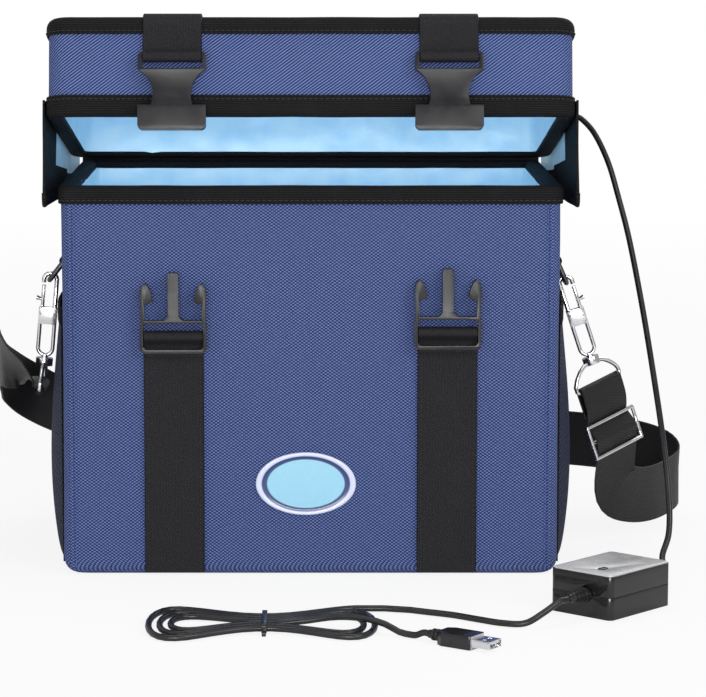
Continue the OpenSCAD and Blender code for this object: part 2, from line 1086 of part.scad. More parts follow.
module shoulder_strap() {
  color(black_web)
    ribbon(
      smooth_curve(strap_route, 2), smooth_curve(strap_wide, 2), web_w, strap_t
    );
}

// Wire slide with three bars on the strap's right end
module strap_adjuster() {
  half = 22;
  color(chrome)
    on_swivel(1) {
      for (z = [-39.4, adjust_z, -60.6])
        rods([[-half, 0, z], [half, 0, z]], adjust_bar);
      for (k = [-1, 1])
        rods([[k * half, 0, -39.4], [k * half, 0, -60.6]], adjust_bar);
    }
}

/* Lamp in the lid */

tray_w = 250;
tray_d = 64;
tray_z = lid_top_in;
tube_r = 3;
tube_z = tray_z - 8;
tube_y = 15;
tube_l = 238;

// Sheet reflector with two raised flanks
module lamp_tray() {
  color(box_grey)
    on_lid()
      translate([0, 0, tray_z])
        difference() {
          translate([0, 0, -6])
            cube([tray_w, tray_d, 12], center = true);
          translate([0, 0, -9])
            cube([tray_w - 2, tray_d - 2, 16], center = true);
        }
}

module lamp_tubes() {
  color("#cfe9ff")
    on_lid()
      for (s = [-1, 1])
        translate([0, s * tube_y, tube_z])
          rotate([0, 90, 0])
            cylinder(h = tube_l, r = tube_r, center = true);
}

// End blocks whose sockets hold the tubes
module lamp_holders() {
  block_x = 12;
  color(foam_white)
    on_lid()
      for (k = [-1, 1])
        difference() {
          translate([k * (tray_w / 2 - 1.2 - block_x / 2), 0, tray_z - 1.2 - 5.4])
            cube([block_x, 46, 10.6], center = true);
          for (s = [-1, 1])
            translate([0, s * tube_y, tube_z])
              rotate([0, 90, 0])
                cylinder(h = tube_l + 0.4, r = tube_r + 0.05, center = true);
        }
}

// Wire guard below the tubes
module lamp_guard() {
  wire = 0.9;
  z = tray_z - 12 - wire;
  long_n = 5;
  cross_n = 11;
  color(chrome)
    on_lid() {
      for (i = [0:long_n - 1])
        let (y = (tray_d - 4) * (i / (long_n - 1) - 0.5))
          translate([0, y, z])
            rotate([0, 90, 0])
              cylinder(h = tray_w, r = wire, center = true, $fn = 16);
      for (i = [0:cross_n - 1])
        let (x = (tray_w - 2 * wire) * (i / (cross_n - 1) - 0.5))
          translate([x, 0, z])
            rotate([90, 0, 0])
              cylinder(h = tray_d, r = wire, center = true, $fn = 16);
    }
}

gland_y = 52;
gland_z = 20;
gland_l = 9;
gland_tip = lid_point([lid_w / 2 + gland_l, gland_y, gland_z]);

// Cord gland on the lid's right side: a flange and a tapered sleeve
module cord_gland() {
  color(black_plastic)
    on_lid()
      translate([lid_w / 2, gland_y, gland_z])
        rotate([0, 90, 0]) {
          translate([0, 0, 0.1])
            cylinder(h = 1.6, r = 6);
          cylinder(h = gland_l, r1 = 4, r2 = cord_d / 2 + 0.4);
        }
}

/* Control box on the cord */

box_l = 60;
box_w = 45;
box_h = 27;
box_at = [180, -200, 0];
box_turn = 48;
relief_l = 17;
relief_z = box_h / 2;
lead_y = -4;

module on_box() {
  translate(box_at)
    rotate(box_turn)
      children();
}

function box_point(p) =
  box_at + [
    p.x * cos(box_turn) - p.y * sin(box_turn),
    p.x * sin(box_turn) + p.y * cos(box_turn),
    p.z
  ];

// Ribbed relief along +X from the origin
module relief(length) {
  ribs = 4;
  cylinder(h = length, r1 = 4.6, r2 = cord_d / 2 + 0.5);
  for (i = [0:ribs - 1])
    translate([0, 0, 3 + i * (length - 5) / ribs])
      cylinder(h = 1.6, r = 5 - 0.55 * i);
}

// Lower half of the housing, with both cord reliefs moulded on it
module control_box() {
  color(box_black)
    on_box() {
      difference() {
        plan_block(box_l, box_w, 3.5, 0, box_h / 2 - 0.15);
        plan_block(box_l - 3, box_w - 3, 2, 1.5, box_h);
      }
      translate([-box_l / 2 + 0.3, lead_y, relief_z])
        rotate([0, -90, 0])
          relief(relief_l + 0.3);
      translate([box_l / 2 - 0.3, 0, relief_z])
        rotate([0, 90, 0])
          relief(relief_l + 0.3);
      for (k = [-1, 1])
        translate([k * (box_l / 2 - 1.6), k > 0 ? 0 : lead_y, box_h / 2 - 4])
          cube([2.8, 12, 7.4], center = true);
    }
}

// Upper half with its pale top plate, open below and notched for the reliefs
module box_cover() {
  hole = [box_l / 2 - 14, 6];
  difference() {
    union() {
      color(box_black)
        on_box()
          difference() {
            plan_block(box_l, box_w, 3.5, box_h / 2, box_h - 1);
            plan_block(box_l - 3, box_w - 3, 2, 0, box_h - 2.5);
          }
      color(box_grey)
        on_box()
          plan_block(box_l - 2, box_w - 2, 2.5, box_h - 1, box_h);
    }
    on_box() {
      for (k = [-1, 1])
        translate([k * box_l / 2, k > 0 ? 0 : lead_y, relief_z])
          rotate([0, 90, 0])
            cylinder(h = 8, r = 5.2, center = true);
      translate([-hole.x, -hole.y, box_h - 5])
        linear_extrude(10)
          round_rect(7.4, 4.4, 2.1);
    }
  }
}

module box_button() {
  color(box_grey)
    on_box()
      translate([-(box_l / 2 - 14), -6, box_h - 4]) {
        linear_extrude(4.6)
          round_rect(7, 4, 1.9);
        linear_extrude(1.2)
          round_rect(9, 6, 2.5);
      }
}

/* Cords */

cord_r = cord_d / 2;
floor_z = cord_r + 0.1;
end_gap = 0.2;

lead_start = box_point([-box_l / 2 - relief_l, lead_y, relief_z]);
lead_dir = [-cos(box_turn), -sin(box_turn), 0];
lamp_end = box_point([box_l / 2 + relief_l, 0, relief_z]);

lamp_route = concat(
  [gland_tip + [end_gap, 0, 0], gland_tip + [4, 0, 0], gland_tip + [9, -1, -1.5]],
  [
    [190, 49, 267], [198, 36, 249], [203, 16, 228], [208, -10, 202],
    [213, -45, 164], [217, -78, 126], [221, -106, 86], [223, -124, 54],
    [222, -136, 33], [217, -146, 20]
  ],
  [lamp_end - 9 * lead_dir, lamp_end - 4.5 * lead_dir, lamp_end - end_gap * lead_dir]
);

module lamp_cord() {
  color(black_plastic)
    tube(smooth_curve(lamp_route, 4), cord_r, 8, [0.3, -0.9, 0.1]);
}

hank_at = [-27, -252, 0];
hank_step = 5.6;
hank_first = 40;
hank_last = 990;

// A point of the hank's dog bone, t in degrees
function hank_point(t) =
  let (
    turn = t / 360,
    a = hank_a - 6.5 * turn,
    w = hank_waist - hank_step * turn,
    b = hank_swell - 16 * turn,
    rise = 0.6 * max(0, 1 - pow(a * cos(t) / 45, 2))
  )
  [a * cos(t), sin(t) * (w + b * pow(cos(t), 2)), floor_z + rise];

// The inner end runs right, over the two right hand loops in a long low hump
hank_exit = [
  [13.5, -0.6, 2.8], [26, -0.6, 4.2], [38, -2.6, 6.4], [49, -6.6, 7.6],
  [60, -12, 7.6], [70, -18, 6], [78, -23, 2.6], [84, -27, floor_z]
];
hank_entry = [[96, 31, floor_z], [86, 36.5, floor_z], [71, 40.6, floor_z]];
hank_path = [
  for (p = concat(
      hank_entry,
      [for (k = [0:63]) hank_point(hank_first + (hank_last - hank_first) * k / 63)],
      smooth_curve(hank_exit, 2)
    ))
    p + hank_at
];

// Distance from a point to the stretch of a path between two others
function reach(p, a, b) =
  let (t = max(0, min(1, (p - a) * (b - a) / ((b - a) * (b - a)))))
  norm(p - a - t * (b - a));

// Least gap of the hank to itself, past its next four rings
hank_gap = min([
  for (i = [0:len(hank_path) - 1])
    for (j = [i + 4:1:len(hank_path) - 2])
      reach(hank_path[i], hank_path[j], hank_path[j + 1])
]) - cord_d;
echo(hank_gap = hank_gap);

module usb_hank() {
  color(black_plastic)
    tube(hank_path, cord_r, 6);
}

lead_route = concat(
  [lead_start + end_gap * lead_dir, lead_start + 4.5 * lead_dir, lead_start + 9 * lead_dir],
  [
    [136, -250, 8], [125, -254, 2.8], [112, -250, floor_z],
    [98, -240, floor_z], [84, -229, floor_z]
  ],
  [hank_path[0] + end_gap * [0.88, -0.47, 0]]
);

module usb_lead() {
  color(black_plastic)
    tube(smooth_curve(lead_route, 3), cord_r, 8);
}

plug_at = [68, -286, 0];
plug_turn = -36;
plug_z = 4.2;

function plug_point(p) =
  plug_at + [
    p.x * cos(plug_turn) - p.y * sin(plug_turn),
    p.x * sin(plug_turn) + p.y * cos(plug_turn),
    p.z
  ];

tail_end = plug_point([-end_gap, 0, plug_z]);
tail_route = [
  hank_path[len(hank_path) - 1] + 1.5 * end_gap * [0.83, -0.55, 0],
  [60.5, -281.2, 2.2],
  plug_point([-4, 0, plug_z]),
  tail_end
];

module usb_tail() {
  color(black_plastic)
    tube(smooth_curve(tail_route, 3), cord_r, 8);
}

// A wire tie round the hank's waist, with a short twisted end
module hank_tie() {
  color(black_plastic)
    translate(hank_at) {
      rotate([90, 0, 90])
        linear_extrude(3, center = true)
          difference() {
            translate([1.4, 2.95])
              round_rect(38.6, 5.9, 1.8);
            translate([1.4, 2.95])
              round_rect(37, 4.9, 1.2);
          }
      translate([-1.2, -24, 0])
        cube([2.4, 6.8, 2.2]);
    }
}

// Moulded grip, its relief, and the metal shell with its inner tongue
module usb_plug() {
  grip = [24, 15.7, 7.9];
  shell = [12, 12, 4.5];
  translate(plug_at)
    rotate(plug_turn)
      translate([0, 0, plug_z]) {
        color(box_black) {
          rotate([0, 90, 0])
            cylinder(h = 9.1, r1 = 2.4, r2 = 3.4);
          for (i = [0:1])
            translate([3 + 2.8 * i, 0, 0])
              rotate([0, 90, 0])
                cylinder(h = 1.4, r = 3.5);
          translate([9 + grip.x / 2, 0, -grip.z / 2])
            linear_extrude(grip.z)
              difference() {
                round_rect(grip.x, grip.y, 2);
                for (s = [-1, 1])
                  translate([-grip.x / 2, s * grip.y / 2])
                    rotate(s * 32)
                      square([16, 4.2], center = true);
              }
        }
        color(chrome)
          translate([9 + grip.x + shell.x / 2 - 0.1, 0, 0])
            difference() {
              cube(shell, center = true);
              translate([1, 0, 0])
                cube([shell.x, shell.y - 0.7, shell.z - 0.7], center = true);
              for (s = [-1, 1])
                translate([0.6, s * 2.7, 2])
                  cube([2.4, 2.2, 3], center = true);
            }
        color(box_black)
          translate([9 + grip.x + 5.4, 0, 0.95])
            cube([11, shell.y - 0.7, 1.9], center = true);
      }
}

front_panel();
rear_panel();
side_panel_left();
side_panel_right();
base_panel();
foam_walls();
foil_liner();
rim_binding();
hinge_strip();
body_strap_left();
body_strap_right();
badge();
pocket_left();
pocket_right();
pocket_bindings();
ring_tab_left();
ring_tab_right();
shoulder_strap();
strap_loop_left();
strap_loop_right();
tongue_left();
tongue_right();
d_ring_left();
d_ring_right();
snap_hook_left();
snap_hook_right();
hook_gate_left();
hook_gate_right();
swivel_frame_left();
swivel_frame_right();
strap_adjuster();
lid_top_panel();
lid_front_panel();
lid_rear_panel();
lid_side_left();
lid_side_right();
lid_foam();
lid_liner();
lid_top_binding();
lid_lower_binding();
side_flap_left();
side_flap_right();
lid_strap_left();
lid_strap_right();
socket_left();
socket_right();
lamp_tray();
lamp_tubes();
lamp_holders();
lamp_guard();
cord_gland();
lamp_cord();
usb_lead();
usb_hank();
usb_tail();
hank_tie();
control_box();
box_cover();
box_button();
usb_plug();
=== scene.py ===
# %% [markdown]
# A soft sterilising case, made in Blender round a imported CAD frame.
# The real thing is a woven nylon box with a foil lining, a box lid that stands
# ajar on a cloth hinge, two side release buckles, side pockets of open mesh, a
# webbing shoulder strap on snap hooks, and a lamp cord with a control box.
# The hard pieces keep their CAD shapes and get worn edges and real finishes.
# The soft pieces are built here again as cloth, because cloth has rounded
# edges, slack, stitches and a weave that a plain solid can't show.

# %% Load the frame
import json
import math
import bmesh
import bpy
import numpy as np
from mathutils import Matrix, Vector, noise


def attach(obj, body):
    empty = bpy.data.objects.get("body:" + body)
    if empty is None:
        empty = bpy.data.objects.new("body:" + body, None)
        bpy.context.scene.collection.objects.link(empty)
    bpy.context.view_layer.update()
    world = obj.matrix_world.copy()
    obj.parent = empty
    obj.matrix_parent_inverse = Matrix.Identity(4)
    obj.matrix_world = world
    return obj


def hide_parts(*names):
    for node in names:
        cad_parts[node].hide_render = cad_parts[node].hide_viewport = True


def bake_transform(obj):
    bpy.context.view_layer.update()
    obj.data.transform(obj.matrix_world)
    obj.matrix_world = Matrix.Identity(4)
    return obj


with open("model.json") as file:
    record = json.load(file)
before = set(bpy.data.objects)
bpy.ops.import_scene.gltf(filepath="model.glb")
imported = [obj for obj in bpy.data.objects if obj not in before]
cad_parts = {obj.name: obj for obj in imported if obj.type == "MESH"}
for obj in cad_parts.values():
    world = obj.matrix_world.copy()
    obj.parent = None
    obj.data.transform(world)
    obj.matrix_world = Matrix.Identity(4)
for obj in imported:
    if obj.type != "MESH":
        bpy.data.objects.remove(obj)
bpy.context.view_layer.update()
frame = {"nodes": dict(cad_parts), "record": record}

MM = 0.001
SIDES = (("left", -1), ("right", 1))
NODE_BODY = {
    node: body
    for body, nodes in frame["record"]["behaviour"]["bodies"].items()
    for node in nodes
}
NODE_SLOT = {part["node"]: part["material_slot"] for part in frame["record"]["subparts"]}

# %% [markdown]
# The camera comes first. It was fitted to the corners of the front panel and of
# the lid: two metres away, a little above the lid, looking down by 8 degrees.

# %% Camera
camera_data = bpy.data.cameras.new("camera")
camera_data.sensor_width = 36
camera_data.lens = 156.6
camera_data.shift_x = 0.06
camera_data.clip_end = 100
camera = bpy.data.objects.new("camera", camera_data)
camera.location = (0, -2.005, 0.4098)
camera.rotation_euler = (math.radians(90 - 7.973), 0, 0)
bpy.context.collection.objects.link(camera)
scene = bpy.context.scene
scene.camera = camera
scene.view_settings.view_transform = "Standard"
print("camera at", tuple(round(c, 3) for c in camera.location))

# %% [markdown]
# ## Finishes
# Every finish is a small node tree on the Principled shader. Cloth patterns read
# the piece's own UV map, which each mesh below lays out in metres, so a weave
# keeps its true size and follows the cloth round a corner. Hard pieces read
# Object coordinates, because they never bend.

# %% A helper that writes shader nodes in one line each
class Tree:
    """A material's node tree, with short calls for the nodes used here."""

    def __init__(self, name, color, rough, metal=0.0, **sockets):
        self.material = bpy.data.materials.new(name)
        self.material.use_nodes = True
        self.nodes = self.material.node_tree.nodes
        self.links = self.material.node_tree.links
        self.shader = self.nodes["Principled BSDF"]
        self.shader.inputs["Base Color"].default_value = (*color, 1)
        self.shader.inputs["Roughness"].default_value = rough
        self.shader.inputs["Metallic"].default_value = metal
        for key, value in sockets.items():
            self.shader.inputs[key.replace("_", " ")].default_value = value

    def node(self, kind, inputs=(), out=0, **settings):
        made = self.nodes.new(kind)
        for key, value in settings.items():
            setattr(made, key, value)
        for key, value in dict(inputs).items():
            if isinstance(value, bpy.types.NodeSocket):
                self.links.new(value, made.inputs[key])
            else:
                made.inputs[key].default_value = value
        return made.outputs[out]

    def math(self, how, a, b=0.0, c=0.0):
        return self.node("ShaderNodeMath", {0: a, 1: b, 2: c}, operation=how)

    def ramp(self, value, low, high, to_low=0.0, to_high=1.0):
        return self.node(
            "ShaderNodeMapRange",
            {0: value, 1: low, 2: high, 3: to_low, 4: to_high},
            interpolation_type="SMOOTHSTEP",
        )

    def mix(self, share, a, b):
        a = (*a, 1) if isinstance(a, tuple) else a
        b = (*b, 1) if isinstance(b, tuple) else b
        return self.node(
            "ShaderNodeMix", {0: share, 6: a, 7: b}, out=2, data_type="RGBA"
        )

    def place(self, uv=False):
        """Object or UV coordinates in millimetres, as one vector."""
        found = self.node("ShaderNodeTexCoord", out=2 if uv else 3)
        return self.node(
            "ShaderNodeVectorMath", {0: found, 3: 1000.0}, operation="SCALE"
        )

    def split(self, vector):
        made = self.nodes.new("ShaderNodeSeparateXYZ")
        self.links.new(vector, made.inputs[0])
        return made.outputs[0], made.outputs[1], made.outputs[2]

    def noise(self, vector, scale, detail=3.0, rough=0.5):
        return self.node(
            "ShaderNodeTexNoise",
            {"Vector": vector, "Scale": scale, "Detail": detail, "Roughness": rough},
        )

    def wave(self, value, pitch):
        """A sine from -1 to 1 that repeats each pitch millimetres."""
        return self.math("SINE", self.math("MULTIPLY", value, 2 * math.pi / pitch))

    def bump(self, height, depth_mm, strength=1.0):
        normal = self.node(
            "ShaderNodeBump",
            {"Height": height, "Distance": depth_mm * MM, "Strength": strength},
        )
        self.links.new(normal, self.shader.inputs["Normal"])

    def set(self, name, socket):
        self.links.new(socket, self.shader.inputs[name])


print("shader helper ready")

# %% [markdown]
# The navy nylon is a basket weave: short light blue floats on a darker ground.
# Two sine waves on the slant, added up, give a lattice of small lozenges with
# the photograph's pitch. The lid's cloth is the same yarn laid on the bias, so
# there one of the two waves is much stronger and slanted lines show.


# %% Navy weave
WEAVE_PITCH = 2.7


def navy_weave(name, bias):
    t = Tree(name, (0.06, 0.09, 0.25), 0.6, Specular_IOR_Level=0.35)
    place = t.place(uv=True)
    wobble = t.noise(place, 0.05, 2.0)
    u, v, _ = t.split(place)
    shift = t.math("MULTIPLY", wobble, 1.6)
    across = t.math("ADD", u, shift)
    slant = t.math("MULTIPLY", v, 1.36)
    first = t.wave(t.math("SUBTRACT", across, slant), WEAVE_PITCH)
    second = t.wave(t.math("ADD", across, slant), WEAVE_PITCH)
    if bias:
        second = t.math("MULTIPLY", second, 0.22)
        float_height = t.math("ADD", t.math("MULTIPLY", first, 0.8), second)
        light = t.ramp(float_height, -0.55, 0.75)
    else:
        float_height = t.math("MULTIPLY", t.math("ADD", first, second), 0.5)
        light = t.ramp(float_height, -0.35, 0.75)
    yarn = t.noise(place, 2.2, 4.0, 0.7)
    wear = t.noise(place, 0.012, 3.0, 0.6)
    ground = t.mix(wear, (0.005, 0.010, 0.055), (0.010, 0.020, 0.090))
    thread = t.mix(yarn, (0.075, 0.125, 0.36), (0.18, 0.26, 0.56))
    t.set("Base Color", t.mix(light, ground, thread))
    t.set("Roughness", t.ramp(yarn, 0.2, 0.8, 0.5, 0.72))
    t.bump(t.math("MULTIPLY_ADD", yarn, 0.25, float_height), 0.3, 0.9)
    return t.material


weave = navy_weave("navy_weave", bias=False)
lid_weave = navy_weave("navy_weave_bias", bias=True)
print("weave pitch", WEAVE_PITCH, "mm on the slant")

# %% [markdown]
# Webbing has fine ribs across its length and a firm edge. Binding tape is
# thinner and duller, with a coarser rib. Both are black, but kept from looking
# like ink: their ribs carry painted highlight and their valleys painted shade,
# and dust lies on them in patches.


# %% Webbing, tape and thread
def ribbed_cloth(name, pitch, depth, color, rough, twill=0.0, gloss=0.2):
    t = Tree(name, color, rough, Specular_IOR_Level=gloss)
    place = t.place(uv=True)
    u, v, _ = t.split(place)
    fluff = t.noise(place, 1.6, 4.0, 0.7)
    along = t.math("ADD", v, t.math("MULTIPLY", fluff, 0.3))
    rib = t.wave(t.math("ADD", along, t.math("MULTIPLY", u, twill)), pitch)
    cord = t.wave(u, 1.9)
    dust = t.noise(place, 0.05, 3.0, 0.6)
    # Raised ribs and cords get a lighter colour and the valleys a darker one: painted highlight on
    # the ribs, painted shade in the valleys.
    lift = t.ramp(t.math("MULTIPLY_ADD", cord, 0.35, rib), -1.0, 1.3)
    valley_shade_color = tuple(c * 0.45 for c in color)
    painted_rib_shading = t.mix(lift, valley_shade_color, tuple(min(1.0, c * 1.7) for c in color))
    dusty = t.ramp(dust, 0.45, 0.9, 0.0, 0.25)
    t.set("Base Color", t.mix(dusty, painted_rib_shading, (0.026, 0.025, 0.028)))
    t.set("Roughness", t.ramp(fluff, 0.2, 0.8, rough - 0.1, rough + 0.12))
    t.bump(t.math("MULTIPLY_ADD", cord, 0.3, rib), depth, 0.7)
    return t.material


webbing = ribbed_cloth("webbing", 1.25, 0.2, (0.010, 0.0095, 0.012), 0.5, twill=0.5)
strap_web = ribbed_cloth(
    "strap_webbing", 1.1, 0.14, (0.008, 0.008, 0.009), 0.38, twill=0.35, gloss=0.35)
tape = ribbed_cloth("binding_tape", 1.5, 0.25, (0.008, 0.008, 0.0085), 0.7, gloss=0.12)
thread = ribbed_cloth("thread", 0.6, 0.05, (0.018, 0.018, 0.02), 0.5)
navy_thread = ribbed_cloth("navy_thread", 0.6, 0.05, (0.05, 0.08, 0.24), 0.55)
yarn = ribbed_cloth("mesh_yarn", 0.8, 0.06, (0.008, 0.011, 0.03), 0.55, gloss=0.25)
print("cloth finishes:", webbing.name, strap_web.name, tape.name, yarn.name)

# %% [markdown]
# The lining is pale sky blue film on foam. It is not a clean mirror: it is hazy,
# and full of tiny creases at several sizes. The large creases are in the mesh,
# and this tree adds the small ones. A weak glow stands in for the light that
# such film throws back and forth inside the bag.

# %% Foil
t = Tree("blue_foil", (0.50, 0.84, 1.0), 0.36, metal=0.04,
         Emission_Color=(0.45, 0.68, 0.88, 1), Emission_Strength=0.13)
place = t.place(uv=True)
creases = t.node("ShaderNodeTexVoronoi", {"Vector": place, "Scale": 0.06}, feature="F1")
small = t.noise(place, 0.12, 3.0, 0.55)
folds = t.math("MULTIPLY_ADD", small, 0.8, creases)
t.set("Base Color", t.mix(t.ramp(folds, 0.3, 1.2), (0.44, 0.76, 0.97), (0.60, 0.87, 1.0)))
t.set("Roughness", t.ramp(small, 0.3, 0.7, 0.3, 0.46))
t.bump(folds, 1.2, 0.3)
foil = t.material
print("foil finish:", foil.name)

# %% [markdown]
# The buckles are moulded acetal: nearly black with a fine spark texture, a little
# gloss, and greyer where hands rub it. The cord box is a glossier moulding with
# a pale top plate. One function makes them all from a few numbers.


# %% Moulded plastics
def moulding(name, color, rough, grain_mm, grain_depth, rub=0.0, **sockets):
    t = Tree(name, color, rough, **sockets)
    place = t.place()
    grain = t.noise(place, 1.0 / grain_mm, 4.0, 0.7)
    touch = t.noise(place, 0.06, 3.0, 0.6)
    worn = tuple(min(1.0, c + rub) for c in color)
    t.set("Base Color", t.mix(t.ramp(touch, 0.4, 0.75), color, worn))
    t.set("Roughness", t.ramp(touch, 0.3, 0.7, rough - 0.06, rough + 0.08))
    t.bump(grain, grain_depth, 0.5)
    return t.material


acetal = moulding(
    "acetal", (0.010, 0.0095, 0.0115), 0.34, 0.5, 0.05, rub=0.008, Specular_IOR_Level=0.4)
black_gloss = moulding("black_gloss", (0.012, 0.011, 0.012), 0.16, 1.6, 0.02, rub=0.006)
grey_gloss = moulding("grey_gloss", (0.52, 0.52, 0.53), 0.28, 1.2, 0.02, rub=0.05)
white_moulding = moulding("white_moulding", (0.78, 0.79, 0.79), 0.4, 1.0, 0.03)
sheath = moulding("cord_sheath", (0.010, 0.010, 0.011), 0.3, 0.7, 0.03, rub=0.008)
print("moulded finishes ready")

# %% [markdown]
# Plated wire is bright, with faint streaks and cloudy fingerprints in its
# roughness. The reflector behind the lamps is plain rolled sheet, so its
# streaks run along the tray. The lamps are clear quartz.


# %% Metals and glass
def plated(name, color, rough, streak):
    t = Tree(name, color, rough, metal=1.0)
    place = t.place()
    stretched = t.node("ShaderNodeMapping", {"Vector": place, "Scale": streak})
    lines = t.noise(stretched, 1.0, 4.0, 0.6)
    haze = t.noise(place, 0.15, 2.0)
    t.set("Base Color", t.mix(haze, tuple(c * 0.86 for c in color), color))
    worn = t.math("MULTIPLY_ADD", haze, 0.5, lines)
    t.set("Roughness", t.ramp(worn, 0.4, 1.1, rough, rough + 0.16))
    t.bump(lines, 0.02, 0.3)
    return t.material


chrome = plated("chrome_plate", (0.80, 0.80, 0.82), 0.10, (0.6, 0.6, 0.6))
dark_chrome = plated("dark_plate", (0.10, 0.10, 0.11), 0.22, (0.6, 0.6, 0.6))
reflector = plated("rolled_sheet", (0.84, 0.85, 0.87), 0.2, (0.02, 1.5, 1.5))

t = Tree("quartz", (0.9, 0.95, 1.0), 0.05, Transmission_Weight=0.85, IOR=1.46)
cloud = t.noise(t.place(), 0.08, 3.0)
t.set("Roughness", t.ramp(cloud, 0.3, 0.7, 0.03, 0.12))
t.bump(cloud, 0.05, 0.2)
quartz = t.material
print("metals:", chrome.name, dark_chrome.name, reflector.name)

# %% [markdown]
# The badge is a domed oval patch with plain rings: a pale border, a navy ring and
# a pale blue centre. They come from the distance to the middle of the oval.

# %% Badge finish
BADGE_X, BADGE_Z, BADGE_W, BADGE_H = -3.0, 58.0, 63.0, 40.0
t = Tree("badge_face", (0.5, 0.8, 0.95), 0.25, Coat_Weight=0.4, Coat_Roughness=0.15)
place = t.place()
x, _, z = t.split(place)
squares = []
for value, middle, half in ((x, BADGE_X, BADGE_W / 2), (z, BADGE_Z, BADGE_H / 2)):
    share = t.math("DIVIDE", t.math("SUBTRACT", value, middle), half)
    squares.append(t.math("MULTIPLY", share, share))
reach = t.math("SQRT", t.math("ADD", *squares))
fleck = t.noise(place, 1.2, 3.0, 0.6)
centre = t.mix(fleck, (0.24, 0.53, 0.70), (0.33, 0.62, 0.78))
ring = t.mix(fleck, (0.015, 0.035, 0.13), (0.03, 0.06, 0.19))
border = t.mix(fleck, (0.55, 0.59, 0.80), (0.68, 0.71, 0.90))
colour = t.mix(t.ramp(reach, 0.755, 0.79), centre, ring)
t.set("Base Color", t.mix(t.ramp(reach, 0.865, 0.90), colour, border))
t.bump(fleck, 0.04, 0.4)
badge_face = t.material
print("badge rings at 0.77 and 0.88 of its reach")

# %% [markdown]
# ## Mesh helpers
# Most cloth here is one grid of points: rows of rings or rows of a strip. One
# function turns such a grid into a mesh with a UV map in metres. Another bakes
# modifiers into the mesh and sets smooth shading with crisp edges.


# %% Grid to mesh
def finished(piece, crisp):
    """Bakes the modifiers in and shades smooth, but for edges past crisp degrees."""
    graph = bpy.context.evaluated_depsgraph_get()
    mesh = bpy.data.meshes.new_from_object(piece.evaluated_get(graph))
    piece.modifiers.clear()
    piece.data = mesh
    mesh.polygons.foreach_set("use_smooth", [True] * len(mesh.polygons))
    mesh.set_sharp_from_angle(angle=math.radians(crisp))


def settle(piece, crisp, slot, body, *nodes):
    """Finishes a piece, hides the CAD nodes it stands for, and rides it on a body."""
    finished(piece, crisp)
    if nodes:
        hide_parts(*nodes)
    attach(piece, body)


def thicken(piece, thickness, offset=-1, material_offset=0):
    """Gives a cloth a thickness in millimetres."""
    wall = piece.modifiers.new("wall", "SOLIDIFY")
    wall.thickness, wall.offset = thickness * MM, offset
    wall.material_offset = material_offset


def linked(name, mesh, *materials):
    piece = bpy.data.objects.new(name, mesh)
    bpy.context.collection.objects.link(piece)
    for material in materials:
        mesh.materials.append(material)
    return piece


def grid_piece(name, points, uv, material, wrap_u=False, wrap_v=False,
               caps=False, wall=0.0, flip=False):
    """A mesh from points[row][column]; uv has one more row or column where it wraps."""
    rows, cols = len(points), len(points[0])
    verts = [tuple(p) for row in points for p in row]
    faces, loops = [], []
    for j in range(rows if wrap_v else rows - 1):
        for i in range(cols if wrap_u else cols - 1):
            i2, j2 = (i + 1) % cols, (j + 1) % rows
            quad = [j * cols + i, j * cols + i2, j2 * cols + i2, j2 * cols + i]
            corner = [uv[j][i], uv[j][i + 1], uv[j + 1][i + 1], uv[j + 1][i]]
            if flip:
                quad.reverse()
                corner.reverse()
            faces.append(quad)
            loops.extend(corner)
    if caps:
        for row, turned in ((0, not flip), (rows - 1, flip)):
            ids = [row * cols + i for i in range(cols)]
            flat = [uv[row][i] for i in range(cols)]
            if turned:
                ids.reverse()
                flat.reverse()
            faces.append(ids)
            loops.extend(flat)
    mesh = bpy.data.meshes.new(name)
    mesh.from_pydata(verts, [], faces)
    layer = mesh.uv_layers.new(name="cloth")
    layer.data.foreach_set("uv", [c for pair in loops for c in pair])
    piece = linked(name, mesh, material)
    if wall:
        thicken(piece, wall)
    return piece


print("grid helper ready")

# %% [markdown]
# The case, its rim tape, the lid and its tapes all follow a rectangle with round
# corners. This helper walks round one, anticlockwise from the middle of the
# rear, with the same number of points at any size, so that rings of different
# sizes can be joined into one skin.


# %% Round cornered rings
def ring_of(w, d, r, step=6.0, turns=6):
    """[(x, y, outward x, outward y)] in millimetres, and the length up to each point."""
    nx = max(2, round(300 / step))
    ny = max(2, round(200 / step))
    cx, cy = w / 2 - r, d / 2 - r
    out = []

    def side(a, b, n, normal):
        for k in range(n):
            s = k / n
            out.append((a[0] + (b[0] - a[0]) * s, a[1] + (b[1] - a[1]) * s, *normal))

    def corner(x, y, start):
        for k in range(turns):
            a = math.radians(start + 90 * k / turns)
            out.append((x + r * math.cos(a), y + r * math.sin(a), math.cos(a), math.sin(a)))

    side((0, d / 2), (-cx, d / 2), nx // 2, (0, 1))
    corner(-cx, cy, 90)
    side((-w / 2, cy), (-w / 2, -cy), ny, (-1, 0))
    corner(-cx, -cy, 180)
    side((-cx, -d / 2), (cx, -d / 2), nx, (0, -1))
    corner(cx, -cy, 270)
    side((w / 2, -cy), (w / 2, cy), ny, (1, 0))
    corner(cx, cy, 0)
    side((cx, d / 2), (0, d / 2), nx // 2, (0, 1))
    lengths = [0.0]
    for a, b in zip(out, out[1:] + out[:1]):
        lengths.append(lengths[-1] + math.dist(a[:2], b[:2]))
    return out, lengths


def soft(x, y, z, size):
    """A smooth value from -1 to 1 that varies over size millimetres."""
    return noise.noise(Vector((x, y, z)) / size)


def arc_points(radius, degrees):
    return [(radius * math.cos(math.radians(a)), radius * math.sin(math.radians(a)))
            for a in degrees]


def length_of(path):
    return sum((b - a).length for a, b in zip(path, path[1:]))


print("ring of the case:", len(ring_of(312, 210, 6)[0]), "points")

# %% [markdown]
# The lid is drawn closed and then swung open about its hinge, just as the CAD
# does it. The angle and the hinge line are repeated here in millimetres.

